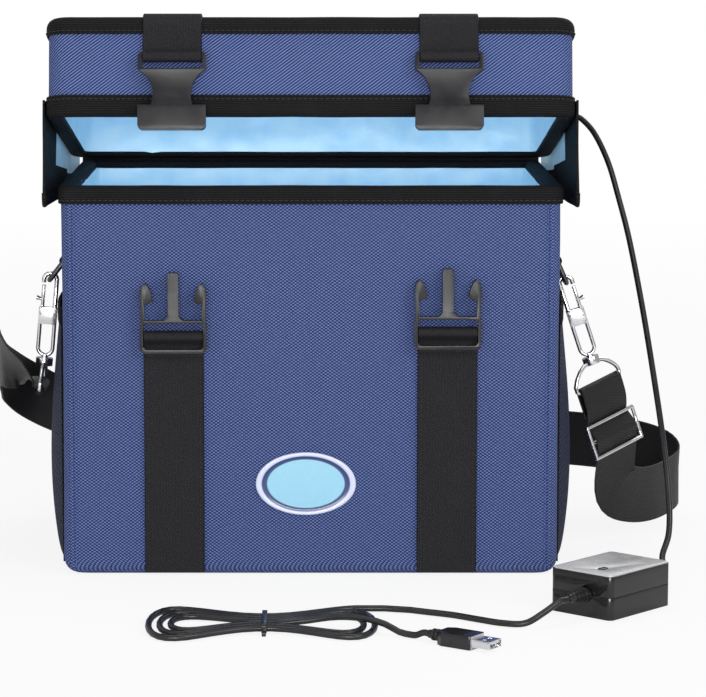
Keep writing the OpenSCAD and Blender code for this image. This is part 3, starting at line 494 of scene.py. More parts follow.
# %% Lid frame
AJAR = math.radians(11.3)
HINGE_Y, HINGE_Z = 107.5, 245.9
LID_Y, LID_Z = -2.0, 247.3
LID_W, LID_D, LID_R, LID_WALL, ROLL = 327.0, 218.0, 14.0, 55.0, 5.0
LID_H = LID_WALL + ROLL


def on_lid(p):
    """A point of the closed lid's own frame, in millimetres, at its ajar place."""
    y, z = p[1] + LID_Y - HINGE_Y, p[2] + LID_Z - HINGE_Z
    return Vector((
        p[0],
        HINGE_Y + y * math.cos(AJAR) + z * math.sin(AJAR),
        HINGE_Z - y * math.sin(AJAR) + z * math.cos(AJAR),
    ))


def in_place(p):
    return Vector(p)


def skin(name, rows, material, place=in_place, closed_profile=False, wall=0.0,
         flip=False, step=6.0, turns=6, planar=False):
    """Joins rings of different sizes: rows of (w, d, r, z, push), push(x, y, z) in mm."""
    points, uv, height = [], [], 0.0
    last = None
    for w, d, r, z, push in rows:
        ring, lengths = ring_of(w, d, r, step, turns)
        if last is not None:
            height += math.hypot((w - last[0]) / 2, z - last[1])
        last = (w, z)
        row = []
        for x, y, nx, ny in ring:
            out, up = push(x, y, z) if push else (0.0, 0.0)
            row.append(place((x + nx * out, y + ny * out, z + up)) * MM)
        points.append(row)
        if planar:
            flat = [(x * MM, y * MM) for x, y, _, _ in ring]
            uv.append(flat + flat[:1])
        else:
            uv.append([(s * MM, height * MM) for s in lengths])
    if closed_profile:
        uv.append([(s, height * MM + 0.01) for s, _ in uv[0]])
    return grid_piece(name, points, uv, material, wrap_u=True,
                      wrap_v=closed_profile, wall=wall, flip=flip)


print("lid stands open by", round(math.degrees(AJAR), 1), "degrees")

# %% [markdown]
# ## The case
# The cover is one cloth skin, lofted in level rings from the base to the rim.
# Its rings shrink at the foot to round the bottom edge. Cloth over foam is never
# quite flat, so each point is drawn in by up to a millimetre where the foam is
# slack, and never pushed out, because the straps and the badge lie on it.

# %% Case cover
BODY_W, BODY_D, CORNER, RIM = 312.0, 210.0, 6.0, 243
FOOT_R, FOOT_SIDE = 10.0, 3.5


def slack(x, y, z):
    drawn = 0.55 + 0.45 * soft(x, y, z, 70) + 0.12 * soft(x, y + 90, z, 16)
    return -max(0.0, drawn) * min(1.0, z / 20), 0.0


def foot(z):
    """How far the cover is drawn in at a height near the base, across and along."""
    return [r - math.sqrt(max(0.0, r ** 2 - max(0.0, r - z) ** 2)) for r in (FOOT_R, FOOT_SIDE)]


levels = [0, 0.5, 1.2, 2.2, 3.6, 5.5, 7.6, 10] + list(range(16, RIM + 1, 6)) + [RIM]
rows = []
for z in levels:
    side, front = foot(z)
    rows.append((BODY_W - 2 * side, BODY_D - 2 * front, CORNER, z, slack))
cover = skin("case_cover", rows, weave)
base_rows = [
    (r * (BODY_W - 2 * FOOT_R), r * (BODY_D - 2 * FOOT_SIDE), max(0.5, r * CORNER), 0, None)
    for r in (1.0, 0.75, 0.5, 0.25, 0.02)
]
base = skin("case_base", base_rows, weave, planar=True, flip=True)
bm = bmesh.new()
for piece in (cover, base):
    bm.from_mesh(piece.data)
bmesh.ops.remove_doubles(bm, verts=bm.verts, dist=1e-5)
bm.to_mesh(cover.data)
bm.free()
bpy.data.objects.remove(base)
thicken(cover, 1.2)
settle(cover, 60, "navy_fabric", "case", "front_panel", "rear_panel", "side_panel_left",
       "side_panel_right", "base_panel", "foam_walls")
print("case cover:", len(cover.data.polygons), "faces")

# %% [markdown]
# The lining is a foil bag. Its rings run down the walls and then shrink across
# the floor. Foil creases in straight facets, so the push is a ridged noise:
# the absolute value of a smooth one has sharp valleys.


# %% Case lining
def crinkle(depth, size):
    def push(x, y, z):
        ridge = abs(soft(x, y, z, size)) + 0.5 * abs(soft(x + 50, y, z, size * 0.45))
        return depth * (0.45 - ridge), depth * (ridge - 0.45)
    return push


def lining_rows(w, d, r, levels, end, creased):
    """Rings down a wall at the levels, and then in across its end."""
    rows = [(w, d, r, z, creased) for z in levels]
    rows += [(w * k, d * k, max(0.3, r * k), end, creased) for k in np.linspace(0.97, 0.03, 24)]
    return rows + [(0.4, 0.3, 0.1, end + creased(0, 0, end)[1], None)]


INNER_W, INNER_D, FLOOR = 294.8, 192.8, 9.2
rows = lining_rows(INNER_W, INNER_D, 3, np.linspace(RIM, FLOOR + 0.2, 58), FLOOR, crinkle(2.2, 26))
lining = skin("case_lining", rows, foil, wall=0.5, step=4.0, turns=4)
settle(lining, 70, "foil", "case", "foil_liner")
print("case lining:", len(lining.data.polygons), "faces")

# %% [markdown]
# Binding tape is folded over each raw edge. Its section is a closed loop of
# points, outward and up from the wall it covers, and the skin helper carries
# that section round the rim. A slow wobble and a fine one keep the edge of the
# tape from looking machined.


# %% Binding tapes
def tape_round(name, w, d, r, profile, place, body, node):
    def wobble(x, y, z):
        return 0.18 * soft(x, y, z, 24), 0.22 * soft(x, y + 40, z, 30)
    rows = [(w + 2 * o, d + 2 * o, max(r + o, 0.8), z, wobble) for o, z in profile]
    area = sum(a[0] * b[1] - b[0] * a[1] for a, b in zip(profile, profile[1:] + profile[:1]))
    piece = skin(name, rows, tape, place=place, closed_profile=True, flip=area < 0)
    sub = piece.modifiers.new("round", "SUBSURF")
    sub.levels = sub.render_levels = 1
    settle(piece, 70, "webbing", body, node)
    return piece


rim = tape_round(
    "rim_tape", BODY_W, BODY_D, CORNER,
    [(0.1, 234.2), (1.0, 234.0), (1.35, 234.8), (1.25, 236.4), (1.0, 237.4), (1.3, 238.6),
     (1.45, 241.5), (1.25, 243.8), (0.2, 245.1), (-2.5, 245.5), (-6.5, 245.45), (-9.0, 244.6),
     (-9.75, 243.2), (-9.6, 241.6), (-9.5, 240.6), (-9.1, 240.2), (-8.6, 240.6), (-8.3, 243.2),
     (-4.0, 243.8), (0.0, 243.2)],
    in_place, "case", "rim_binding")

ROLL_AT = (0, 22, 45, 68, 90)
roll_out = [(-ROLL + x, LID_WALL + y) for x, y in arc_points(6.3, ROLL_AT)]
roll_in = [(-ROLL + x, LID_WALL + y) for x, y in arc_points(4.9, reversed(ROLL_AT))]
lid_top_tape = tape_round(
    "lid_top_tape", LID_W, LID_D, LID_R,
    [(0.0, 49.9), (0.9, 49.7), (1.35, 50.6), (1.15, 52.0), (1.3, 53.4)] + roll_out
    + [(-8.5, 61.3), (-9.8, 60.8), (-9.9, 60.0)] + roll_in + [(-0.1, 53.0)],
    on_lid, "lid", "lid_top_binding")

lid_low_tape = tape_round(
    "lid_lower_tape", LID_W, LID_D, LID_R,
    [(0.1, 11.8), (0.95, 12.1), (1.3, 11.2), (1.05, 9.8), (1.3, 8.4), (1.4, 4.5), (1.3, 0.8),
     (0.2, -1.0), (-3.5, -1.35), (-7.5, -1.1), (-9.2, -0.4), (-9.5, 0.8), (-9.4, 1.8),
     (-9.1, 2.4), (-8.6, 2.1), (-8.2, 0.6), (-4.0, 0.3), (0.0, 1.0)],
    on_lid, "lid", "lid_lower_binding")
print("tapes:", rim.name, lid_top_tape.name, lid_low_tape.name)

# %% [markdown]
# ## The lid
# Its cover is a second skin, with rings up the wall and round the rolled edge.
# The top is a skin of its own, which sags a little between the edges. The two
# meet under the tape, where no join shows.


# %% Lid cover and lining
def lid_slack(x, y, z):
    return -0.35 - 0.35 * soft(x, y, z + 300, 60) - 0.1 * soft(x, y, z, 14), 0.0


def top_sag(x, y, z):
    edge = min(1.0, (LID_W / 2 - abs(x)) / 60) * min(1.0, (LID_D / 2 - abs(y)) / 60)
    return 0.0, -0.3 - 1.6 * max(0.0, edge) - 0.5 * soft(x, y, z, 50)


rows = [(LID_W, LID_D, LID_R, z, lid_slack) for z in np.linspace(0.6, LID_WALL, 12)]
rows += [
    (LID_W - 2 * (ROLL - x), LID_D - 2 * (ROLL - x), LID_R - ROLL + x, LID_WALL + y, None)
    for x, y in arc_points(4.6, ROLL_AT[1:])
]
lid_cover = skin("lid_cover", rows, lid_weave, place=on_lid)
rows = [
    (LID_W - 2 * ROLL - 2 * o, LID_D - 2 * ROLL - 2 * o,
     min(max(0.6, LID_R - ROLL - o), LID_D / 2 - ROLL - o - 0.01), LID_H - 0.3, top_sag)
    for o in list(range(0, 100, 6)) + [102.6, LID_D / 2 - ROLL - 0.06]
]
lid_top = skin("lid_top", rows, weave, place=on_lid, planar=True, step=8)
for piece, nodes in (
    (lid_cover, ["lid_front_panel", "lid_rear_panel", "lid_side_left", "lid_side_right",
                 "lid_foam"]),
    (lid_top, ["lid_top_panel"]),
):
    thicken(piece, 1.0)
    settle(piece, 60, "navy_fabric", "lid", *nodes)

LID_IN_W, LID_IN_D, ROOF = LID_W - 17.2, LID_D - 17.2, 51.4
rows = lining_rows(LID_IN_W, LID_IN_D, 6, np.linspace(0.6, ROOF - 0.6, 14), ROOF, crinkle(2.0, 24))
lid_lining = skin("lid_lining", rows, foil, place=on_lid, flip=True, wall=0.5,
                  step=4.0, turns=4)
settle(lid_lining, 70, "foil", "lid", "lid_liner")
print("lid cover, top and lining made")

# %% [markdown]
# ## Webbing
# A strap is a flat band with soft edges, swept along a path. At each point of
# the path the band lies along a given width direction. Its section has eight
# corners, so the edges catch light as folded yarn does.


# %% Swept bands
def smooth_curve(points, steps):
    """Catmull-Rom points through a list of points, as the CAD does it."""
    pts = [Vector(p) for p in points]
    out, n = [], len(pts)
    for i in range(n - 1):
        p0, p1, p2, p3 = pts[max(i - 1, 0)], pts[i], pts[i + 1], pts[min(i + 2, n - 1)]
        for k in range(steps):
            s = k / steps
            out.append(0.5 * (2 * p1 + (p2 - p0) * s + (2 * p0 - 5 * p1 + 4 * p2 - p3) * s * s
                              + (3 * p1 - p0 - 3 * p2 + p3) * s ** 3))
    out.append(pts[-1])
    return out


def band_rows(path, wide, width, thick, crown=0.0):
    """Rows of section points and their UVs; wide is one direction, or one for each point."""
    path = [Vector(p) for p in path]
    if not isinstance(wide, list):
        wide = [wide] * len(path)
    a, b, e = width / 2, thick / 2, min(0.5, thick * 0.35)
    section = [(-a + e, -b), (-a * 0.5, -b), (0, -b), (a * 0.5, -b), (a - e, -b), (a, 0),
               (a - e, b), (a * 0.5, b), (0, b), (-a * 0.5, b), (-a + e, b), (-a, 0)]
    around = [0.0]
    for p, q in zip(section, section[1:] + section[:1]):
        around.append(around[-1] + math.dist(p, q))
    points, uv, run = [], [], 0.0
    for i, p in enumerate(path):
        ahead = (path[min(i + 1, len(path) - 1)] - path[max(i - 1, 0)]).normalized()
        side = Vector(wide[i])
        side = (side - ahead * side.dot(ahead)).normalized()
        up = ahead.cross(side)
        if i:
            run += (p - path[i - 1]).length
        lift = crown * soft(p.x, p.y, p.z, 18)
        points.append([(p + side * s[0] + up * (s[1] + lift)) * MM for s in section])
        uv.append([(s * MM, run * MM) for s in around])
    return points, uv


def band(name, path, wide, width, thick, material, crown=0.0):
    points, uv = band_rows(path, wide, width, thick, crown)
    return grid_piece(name, points, uv, material, wrap_u=True, caps=True)


print("band helper ready")

# %% [markdown]
# Each front strap runs up the panel, over the tongue's bar and back down behind
# itself, where it is sewn. Strap and fold are one band, because they are one
# piece of webbing. The tongue can drop forward, but the band is baked where it
# stands and follows no body.

# %% Front straps
STRAP_X, FRONT_Y = 85.5, -105.0
BAR_OUT, FOLD_R, TONGUE_BAR = 4.8, 2.75, {"left": 152.0, "right": 154.5}
WEB_T = 1.6


def out_of_front(o, z):
    return (0.0, FRONT_Y - o, z)


for side, sign in SIDES:
    bar = TONGUE_BAR[side]
    turn = [out_of_front(BAR_OUT + x, bar + y) for x, y in arc_points(FOLD_R, range(180, -66, -15))]
    path = ([out_of_front(0.95, z) for z in np.linspace(1.5, bar - 8, 48)]
            + [out_of_front(1.3, bar - 4.5)] + turn[1:]
            + [out_of_front(o, bar - down)
               for o, down in ((4.3, 4.2), (3.0, 6.2), (2.7, 8.4), (2.65, 13.2))])
    path = [Vector(p) + Vector((sign * STRAP_X, 0, 0)) for p in path]
    strap = band(f"front_strap_{side}", path, Vector((1, 0, 0)), 37.4, WEB_T, webbing, crown=0.08)
    finished(strap, 50)
    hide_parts(f"body_strap_{side}", f"strap_loop_{side}")
    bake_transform(strap)
print("front straps made")

# %% [markdown]
# The lid's straps come from the top, bend over the rolled edge and wrap the bar
# of each socket. They are drawn in the lid's own frame.

# %% Lid straps
SOCKET_BAR = 35.0


def out_of_lid(o, z):
    return (0.0, -LID_D / 2 - o, z)


for side, sign in SIDES:
    over = [out_of_lid(x - ROLL, LID_WALL + y) for x, y in arc_points(7.5, range(90, -1, -10))]
    wrap = [out_of_lid(BAR_OUT + x, SOCKET_BAR + y)
            for x, y in arc_points(FOLD_R, range(180, 481, 15))]
    path = ([out_of_lid(-ROLL - o, LID_H + 2.5) for o in np.linspace(42, 2, 12)] + over
            + [out_of_lid(2.5 - 0.03 * k, LID_WALL - k * 3.0) for k in range(1, 6)] + wrap)
    path = [on_lid(Vector(p) + Vector((sign * STRAP_X, 0, 0))) for p in path]
    strap = band(f"lid_strap_piece_{side}", path, Vector((1, 0, 0)), 36.6, WEB_T, webbing,
                 crown=0.08)
    settle(strap, 50, "webbing", "lid", f"lid_strap_{side}")
print("lid straps made")

# %% [markdown]
# ## Stitches
# A seam is a row of short threads, so Geometry Nodes place them: the lines drawn
# here become curves, the curves get a point at every gap, and each point gets a
# small thread turned along the seam. One node tree serves all the seams, with
# its gap, length, thickness and thread as named inputs.


# %% The stitching tree
def new_tree(name, inputs, output):
    """A Geometry Nodes group with named inputs and one geometry output."""
    tree = bpy.data.node_groups.new(name, "GeometryNodeTree")
    for label, kind in inputs:
        tree.interface.new_socket(label, in_out="INPUT", socket_type="NodeSocket" + kind)
    tree.interface.new_socket(output, in_out="OUTPUT", socket_type="NodeSocketGeometry")
    return tree


def wire(tree, *links):
    """Each link is a node and its output, then a node and its input."""
    for source, output, target, into in links:
        tree.links.new(source.outputs[output], target.inputs[into])


def input_ids(tree):
    return {item.name: item.identifier
            for item in tree.interface.items_tree if item.in_out == "INPUT"}


def stitching_tree():
    tree = new_tree("stitching", [
        ("Lines", "Geometry"), ("Gap", "Float"), ("Length", "Float"), ("Radius", "Float"),
        ("Thread", "Material")], "Stitches")
    add = tree.nodes.new
    given, made = add("NodeGroupInput"), add("NodeGroupOutput")
    curve, spaced = add("GeometryNodeMeshToCurve"), add("GeometryNodeResampleCurve")
    spaced.mode = "LENGTH"
    capsule = add("GeometryNodeMeshUVSphere")
    for key, value in (("Segments", 6), ("Rings", 5), ("Radius", 1)):
        capsule.inputs[key].default_value = value
    shape, half, size = (
        add("GeometryNodeTransform"), add("ShaderNodeMath"), add("ShaderNodeCombineXYZ"))
    half.operation = "MULTIPLY"
    half.inputs[1].default_value = 0.5
    tangent, turned = add("GeometryNodeInputTangent"), add("FunctionNodeAlignRotationToVector")
    turned.axis = "Z"
    placed, real, coat = (
        add("GeometryNodeInstanceOnPoints"), add("GeometryNodeRealizeInstances"),
        add("GeometryNodeSetMaterial"))
    wire(
        tree,
        (given, "Lines", curve, "Mesh"), (curve, "Curve", spaced, "Curve"),
        (given, "Gap", spaced, "Length"), (given, "Length", half, 0),
        (given, "Radius", size, "X"), (given, "Radius", size, "Y"), (half, 0, size, "Z"),
        (capsule, "Mesh", shape, "Geometry"), (size, 0, shape, "Scale"),
        (tangent, 0, turned, "Vector"), (spaced, "Curve", placed, "Points"),
        (shape, "Geometry", placed, "Instance"), (turned, "Rotation", placed, "Rotation"),
        (placed, "Instances", real, "Geometry"), (real, "Geometry", coat, "Geometry"),
        (given, "Thread", coat, "Material"), (coat, "Geometry", made, "Stitches"))
    return tree


stitching = stitching_tree()
stitch_input = input_ids(stitching)


def stitches(name, body, lines, gap=3.4, length=2.5, radius=0.36, material=thread,
             closed=False):
    verts, edges = [], []
    for line in lines:
        first = len(verts)
        verts += [tuple(Vector(p) * MM) for p in line]
        edges += [(k, k + 1) for k in range(first, len(verts) - 1)]
        if closed:
            edges.append((len(verts) - 1, first))
    mesh = bpy.data.meshes.new(name)
    mesh.from_pydata(verts, edges, [])
    piece = linked(name, mesh)
    row = piece.modifiers.new("stitching", "NODES")
    row.node_group = stitching
    for key, value in (("Gap", gap * MM), ("Length", length * MM), ("Radius", radius * MM),
                       ("Thread", material)):
        row[stitch_input[key]] = value
    settle(piece, 80, "webbing", body)


def ring_line(w, d, r, z, out, place):
    return [place((x + nx * out, y + ny * out, z)) for x, y, nx, ny in ring_of(w, d, r, 5)[0]]


print("stitching inputs:", list(stitch_input))

# %% Seams along the tapes
stitches("case_rim_seam", "case",
         [ring_line(BODY_W, BODY_D, CORNER, 236.6, 1.32, in_place)], closed=True)
stitches("lid_tape_seams", "lid",
         [ring_line(LID_W, LID_D, LID_R, z, 1.3, on_lid) for z in (9.3, 51.9)], closed=True)
print("tape seams sewn")

# %% [markdown]
# The front panel is sewn to the side panels with a narrow piped seam near each
# corner. It is a slim band of the same cloth with a row of stitches beside it.

# %% Corner welts
WELT_X = 150.0
for side, sign in SIDES:
    rise = [(sign * WELT_X, FRONT_Y - 0.15, z) for z in np.linspace(4, 234, 60)]
    welt = band(f"corner_welt_{side}", rise, Vector((1, 0, 0)), 2.4, 1.1, weave, crown=0.1)
    settle(welt, 60, "navy_fabric", "case")
stitches("corner_stitches", "case",
         [[(sign * (WELT_X - 2.4), FRONT_Y - 0.1, z) for z in np.linspace(5, 233, 60)]
          for sign in (-1, 1)],
         gap=3.2, material=navy_thread, radius=0.3)
strap_lines = []
for side, sign in SIDES:
    for edge in (-1, 1):
        strap_lines.append([(sign * STRAP_X + edge * 16.4, FRONT_Y - 1.85, z)
                            for z in np.linspace(2, TONGUE_BAR[side] - 20, 40)])
stitches("strap_stitches", "case", strap_lines, gap=3.0, length=2.2, radius=0.3)
print("welts and strap seams made")

# %% [markdown]
# Two short rows of stitches hold each doubled end of the front straps. They sit
# on the tail below the tongue's bar, and turn with the tongue.

# %% Bar tacks
for side, sign in SIDES:
    z0 = TONGUE_BAR[side] - 12.4
    rows = [[(sign * STRAP_X + x, FRONT_Y - 3.55, z0 + dz) for x in np.linspace(-17, 17, 12)]
            for dz in (0.2, 1.5)]
    stitches(f"tongue_tack_{side}", f"tongue_{side}", rows, gap=1.7, length=1.6, radius=0.32)
print("bar tacks made")

# %% [markdown]
# ## Flaps and hinge
# A gusset flap hangs from each side of the lid and keeps light in. It is black
# cloth with a taped edge and a patch of foil inside, and it is stiff enough to
# hang nearly flat. Its rear end turns a little way round the lid's corner. The
# hinge is a strip of webbing sewn to the case and the lid.

# %% Side flaps
FLAP_GAP, FLAP_FRONT, FLAP_REAR, FLAP_TOP = 2.3, -100.0, 95.0, 10
FLAP_OUT = LID_W / 2 + FLAP_GAP
FLAP_CORNER = 8


def flap_low(y):
    """Lower edge of the flap at a depth y in the lid's frame."""
    back = y - FLAP_FRONT
    if back < FLAP_CORNER:
        return -48 - math.sqrt(max(0.0, FLAP_CORNER ** 2 - (back - FLAP_CORNER) ** 2))
    if back < 26:
        return -56 + 3 * (back - FLAP_CORNER) / 18
    return -53 + 26 * (back - 26) / (FLAP_REAR - FLAP_FRONT - 26)


def flap_sway(y, z, sign):
    return 0.5 * soft(y, z, sign * 70, 45) * min(1.0, (FLAP_TOP - z) / 25)


flap_ys = ([FLAP_FRONT + FLAP_CORNER - x for x, _ in arc_points(FLAP_CORNER, range(0, 90, 10))]
           + list(np.linspace(FLAP_FRONT + FLAP_CORNER, FLAP_REAR, 44)))
flap_run = [(y, FLAP_OUT, y) for y in flap_ys]
turn = LID_R + FLAP_GAP
for a in np.radians(range(9, 55, 9)):
    flap_run.append((FLAP_REAR + turn * a, FLAP_OUT - turn * (1 - math.cos(a)),
                     FLAP_REAR + turn * math.sin(a)))
for side, sign in SIDES:
    points, uv = [], []
    for j in range(17):
        t = j / 16
        row, flat = [], []
        for run, out, y in flap_run:
            z = FLAP_TOP + (flap_low(run) - FLAP_TOP) * t
            x = sign * (out + flap_sway(y, z, sign))
            row.append(on_lid((x, y, z)) * MM)
            flat.append((run * MM, z * MM))
        points.append(row)
        uv.append(flat)
    flap = grid_piece(f"gusset_{side}", points, uv, tape, flip=sign > 0)
    flap.data.materials.append(tape)
    flap.data.materials.append(foil)
    # An inner face takes the slot after its outer face's: tape, or foil for slot 1.
    for face in flap.data.polygons:
        y, z = flap.data.uv_layers[0].data[face.loop_start].uv / MM
        if y > -12 and -17 + 0.06 * y < z < 8:
            face.material_index = 1
    thicken(flap, 1.3, offset=0, material_offset=1)
    settle(flap, 60, "webbing", "lid", f"side_flap_{side}")
    edge = [Vector((0, y, flap_low(y))) for y in flap_ys]
    inward = []
    for k, p in enumerate(edge):
        ahead = (edge[min(k + 1, len(edge) - 1)] - edge[max(k - 1, 0)]).normalized()
        inward.append(Vector((0, -ahead.z, ahead.y)))
    hem = [p + n * 3.6 for p, n in zip(edge, inward)]
    hem = [on_lid((sign * (FLAP_OUT + flap_sway(p.y, p.z, sign)), p.y, p.z)) for p in hem]
    turned = [on_lid(n) - on_lid((0, 0, 0)) for n in inward]
    hem_tape = band(f"gusset_tape_{side}", hem, turned, 7.6, 2.3, tape, crown=0.15)
    settle(hem_tape, 50, "webbing", "lid")
print("side flaps made")

# %% Cloth hinge
HINGE_HALF = 157
lid_back = [on_lid((0, LID_D / 2 + 1.95, z)) for z in (0.6, 5.0, 12.6)]
profile = smooth_curve(
    [(0, 106.95, 233.9), (0, 106.95, 239), (0, 107.0, 243.5)]
    + [(0, p.y, p.z) for p in lid_back], 5)
xs = np.linspace(-HINGE_HALF, HINGE_HALF, 52)
points, uv, run = [], [], 0.0
for k, p in enumerate(profile):
    if k:
        run += (p - profile[k - 1]).length
    points.append([Vector((x, p.y + 0.25 * soft(x, k, 0, 30), p.z)) * MM for x in xs])
    uv.append([(x * MM, run * MM) for x in xs])
hinge = grid_piece("cloth_hinge", points, uv, webbing, flip=True)
thicken(hinge, 0.9, offset=0)
finished(hinge, 60)
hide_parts("hinge_strip")
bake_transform(hinge)
print("hinge", round(run, 1), "mm long in section")

# %% [markdown]
# ## Badge
# The patch is a low dome with a raised, rounded border. Rings of one oval, each
# with its own share of the full size and its own height, make it.

# %% Badge patch
ROUND = 96
patch_profile = [(0.02, 1.2), (0.3, 1.18), (0.6, 1.1), (0.8, 1.0), (0.87, 1.02), (0.895, 1.35),
                 (0.93, 1.62), (0.965, 1.6), (0.99, 1.3), (1.0, 0.8), (1.0, 0.02)]
points, uv = [], []
for share, height in reversed(patch_profile):
    row, flat = [], []
    for k in range(ROUND + 1):
        a = 2 * math.pi * k / ROUND
        x = BADGE_X + BADGE_W / 2 * share * math.cos(a)
        z = BADGE_Z + BADGE_H / 2 * share * math.sin(a)
        row.append(Vector((x, FRONT_Y - 0.05 - height, z)) * MM)
        flat.append((x * MM, z * MM))
    points.append(row[:ROUND])
    uv.append(flat)
patch = grid_piece("badge_patch", points, uv, badge_face, wrap_u=True, caps=True)
settle(patch, 50, "badge", "case", "badge")
print("badge", BADGE_W, "by", BADGE_H, "mm")

# %% [markdown]
# ## Side pockets
# The pocket is open net, so its holes are real. A sheet of diamonds follows the
# bulged surface. Geometry Nodes push each diamond in from its neighbours and
# delete it, which leaves the threads between them. Solidify gives them a body.


# %% The net tree
def net_tree():
    tree = new_tree("net", [
        ("Diamonds", "Geometry"), ("Hole share", "Float"), ("Yarn", "Material")], "Net")
    add = tree.nodes.new
    given, made = add("NodeGroupInput"), add("NodeGroupOutput")
    pushed = add("GeometryNodeExtrudeMesh")
    pushed.inputs["Individual"].default_value = True
    pushed.inputs["Offset Scale"].default_value = 0.0
    small, gone = add("GeometryNodeScaleElements"), add("GeometryNodeDeleteGeometry")
    gone.domain = "FACE"
    real, coat = add("GeometryNodeRealizeInstances"), add("GeometryNodeSetMaterial")
    wire(
        tree,
        (given, "Diamonds", pushed, "Mesh"), (pushed, "Mesh", small, "Geometry"),
        (pushed, "Top", small, "Selection"), (given, "Hole share", small, "Scale"),
        (small, "Geometry", gone, "Geometry"), (pushed, "Top", gone, "Selection"),
        (gone, "Geometry", real, "Geometry"), (real, "Geometry", coat, "Geometry"),
        (given, "Yarn", coat, "Material"), (coat, "Geometry", made, "Net"))
    return tree


net = net_tree()
net_input = input_ids(net)
print("net inputs:", list(net_input))

# %% Pocket nets
POCKET_HALF, POCKET_FOOT, POCKET_TOP = 86.0, 8.0, 166.0
AT_FOOT, AT_MOUTH, BELLY = 8, 5, 6.5
CELL_Y, CELL_Z = 4.3, 5.2


def pocket_out(y, z):
    """How far the net stands off the side wall."""
    t = min(1.0, max(0.0, (z - POCKET_FOOT) / (POCKET_TOP - POCKET_FOOT)))
    crown = AT_FOOT * (1 - t) + AT_MOUTH * t + BELLY * math.sin(math.pi * t ** 0.75)
    return 0.4 + crown * (1 - (y / POCKET_HALF) ** 2)


def on_pocket(sign, y, v, lift):
    """v is the height above the foot; below nought it runs in along the floor."""
    out = pocket_out(y, POCKET_FOOT + max(0.0, v))
    if v < 0:
        out = 0.3 + (out - 0.3) * max(0.0, 1 + v / 8)
    return Vector((sign * (BODY_W / 2 + out + lift), y, POCKET_FOOT + max(-0.6, v)))


across = round(2 * POCKET_HALF / CELL_Y)
upward = round((POCKET_TOP - POCKET_FOOT - 6) / (CELL_Z / 2))
for side, sign in SIDES:
    verts, faces, found = [], [], {}

    def corner(i, j):
        if (i, j) not in found:
            found[i, j] = len(verts)
            y = POCKET_HALF * max(-1.0, min(1.0, i / across))
            verts.append(tuple(on_pocket(sign, y, j * CELL_Z / 2, 0.6) * MM))
        return found[i, j]

    for j in range(-3, upward):
        for i in range(-across + (j % 2), across, 2):
            quad = [corner(i, j), corner(i + 1, j + 1), corner(i, j + 2), corner(i - 1, j + 1)]
            if -across <= i - 1 and i + 1 <= across:
                faces.append(quad if sign > 0 else quad[::-1])
    mesh = bpy.data.meshes.new(f"pocket_net_{side}")
    mesh.from_pydata(verts, [], faces)
    piece = linked(f"pocket_net_{side}", mesh)
    holes = piece.modifiers.new("net", "NODES")
    holes.node_group = net
    holes[net_input["Hole share"]] = 0.70
    holes[net_input["Yarn"]] = yarn
    thicken(piece, 0.55, offset=0)
    settle(piece, 40, "mesh", "case", f"pocket_{side}")
print("pocket net:", len(piece.data.polygons), "faces each")

# %% [markdown]
# The mouth of a pocket is gathered in elastic tape, and flat tape holds its
# sides. Elastic ripples, so the band's stand-off has a short wave.

# %% Pocket tapes
for side, sign in SIDES:
    ys = np.linspace(-POCKET_HALF, POCKET_HALF, 150)
    mouth = [on_pocket(sign, y, 153.4, 1.0 + 0.25 * math.sin(y * 1.35)) for y in ys]
    mouth = [Vector((p.x, p.y, p.z + 0.25 * math.sin(p.y * 0.9))) for p in mouth]
    elastic = band(f"pocket_elastic_{side}", mouth, Vector((0, 0, 1)), 10.5, 1.9, tape, crown=0.1)
    settle(elastic, 50, "webbing", "case", *(["pocket_bindings"] if sign > 0 else []))
    for label, y in (("front", -POCKET_HALF), ("rear", POCKET_HALF)):
        line = [(sign * (BODY_W / 2 + 0.7), y, z) for z in np.linspace(5, 167, 40)]
        hold = band(f"pocket_tape_{label}_{side}", line, Vector((0, 1, 0)), 7.5, 1.0, tape,
                    crown=0.08)
        settle(hold, 50, "webbing", "case")
print("pocket tapes made")

# %% [markdown]
# ## Tabs and the shoulder strap
# A short loop of webbing holds each ring. The shoulder strap itself is a single
# ribbon with a turn round each hook's frame and a slide on its right end. It
# crosses three joints at each end, so it is cut into stretches that meet edge to
# edge: the end stretches and the one across the back ride a body each, and the others are baked
# where they lie.

# %% Ring tabs
RING_OUT, RING_Z = 5.0, 188.0
for side, sign in SIDES:
    wrap = [(RING_OUT + x, RING_Z + y) for x, y in arc_points(2.7, range(100, -171, -15))]
    outline = [(0.9, z) for z in np.linspace(RING_Z - 17.5, RING_Z + 15.5, 14)]
    ply = ([(2.5, RING_Z + 14.5), (2.5, RING_Z + 9), (3.0, RING_Z + 5)] + wrap
           + [(2.0, RING_Z - 4.0), (1.9, RING_Z - 8)])
    for label, line in (("patch", outline), ("loop", ply)):
        path = [(sign * (BODY_W / 2 + o), 0, z) for o, z in line]
        tab = band(f"ring_{label}_{side}", path, Vector((0, 1, 0)), 20, 1.3, webbing, crown=0.05)
        settle(tab, 50, "webbing", "case", *([f"ring_tab_{side}"] if label == "loop" else []))
stitches("tab_tacks", "case",
         [[(sign * (BODY_W / 2 + 3.3), y, z) for y in np.linspace(-8, 8, 8)]
          for sign in (-1, 1) for z in (RING_Z + 8.6, RING_Z + 10.2, RING_Z + 13)],
         gap=1.8, length=1.6)
print("ring tabs made")

# %% Hook frames
RING_LEAN = {-1: math.radians(38), 1: math.radians(24)}
HOOK_LEAN = {-1: math.radians(5), 1: math.radians(18.5)}
FRAME_TURN = {-1: math.radians(90), 1: math.radians(40)}


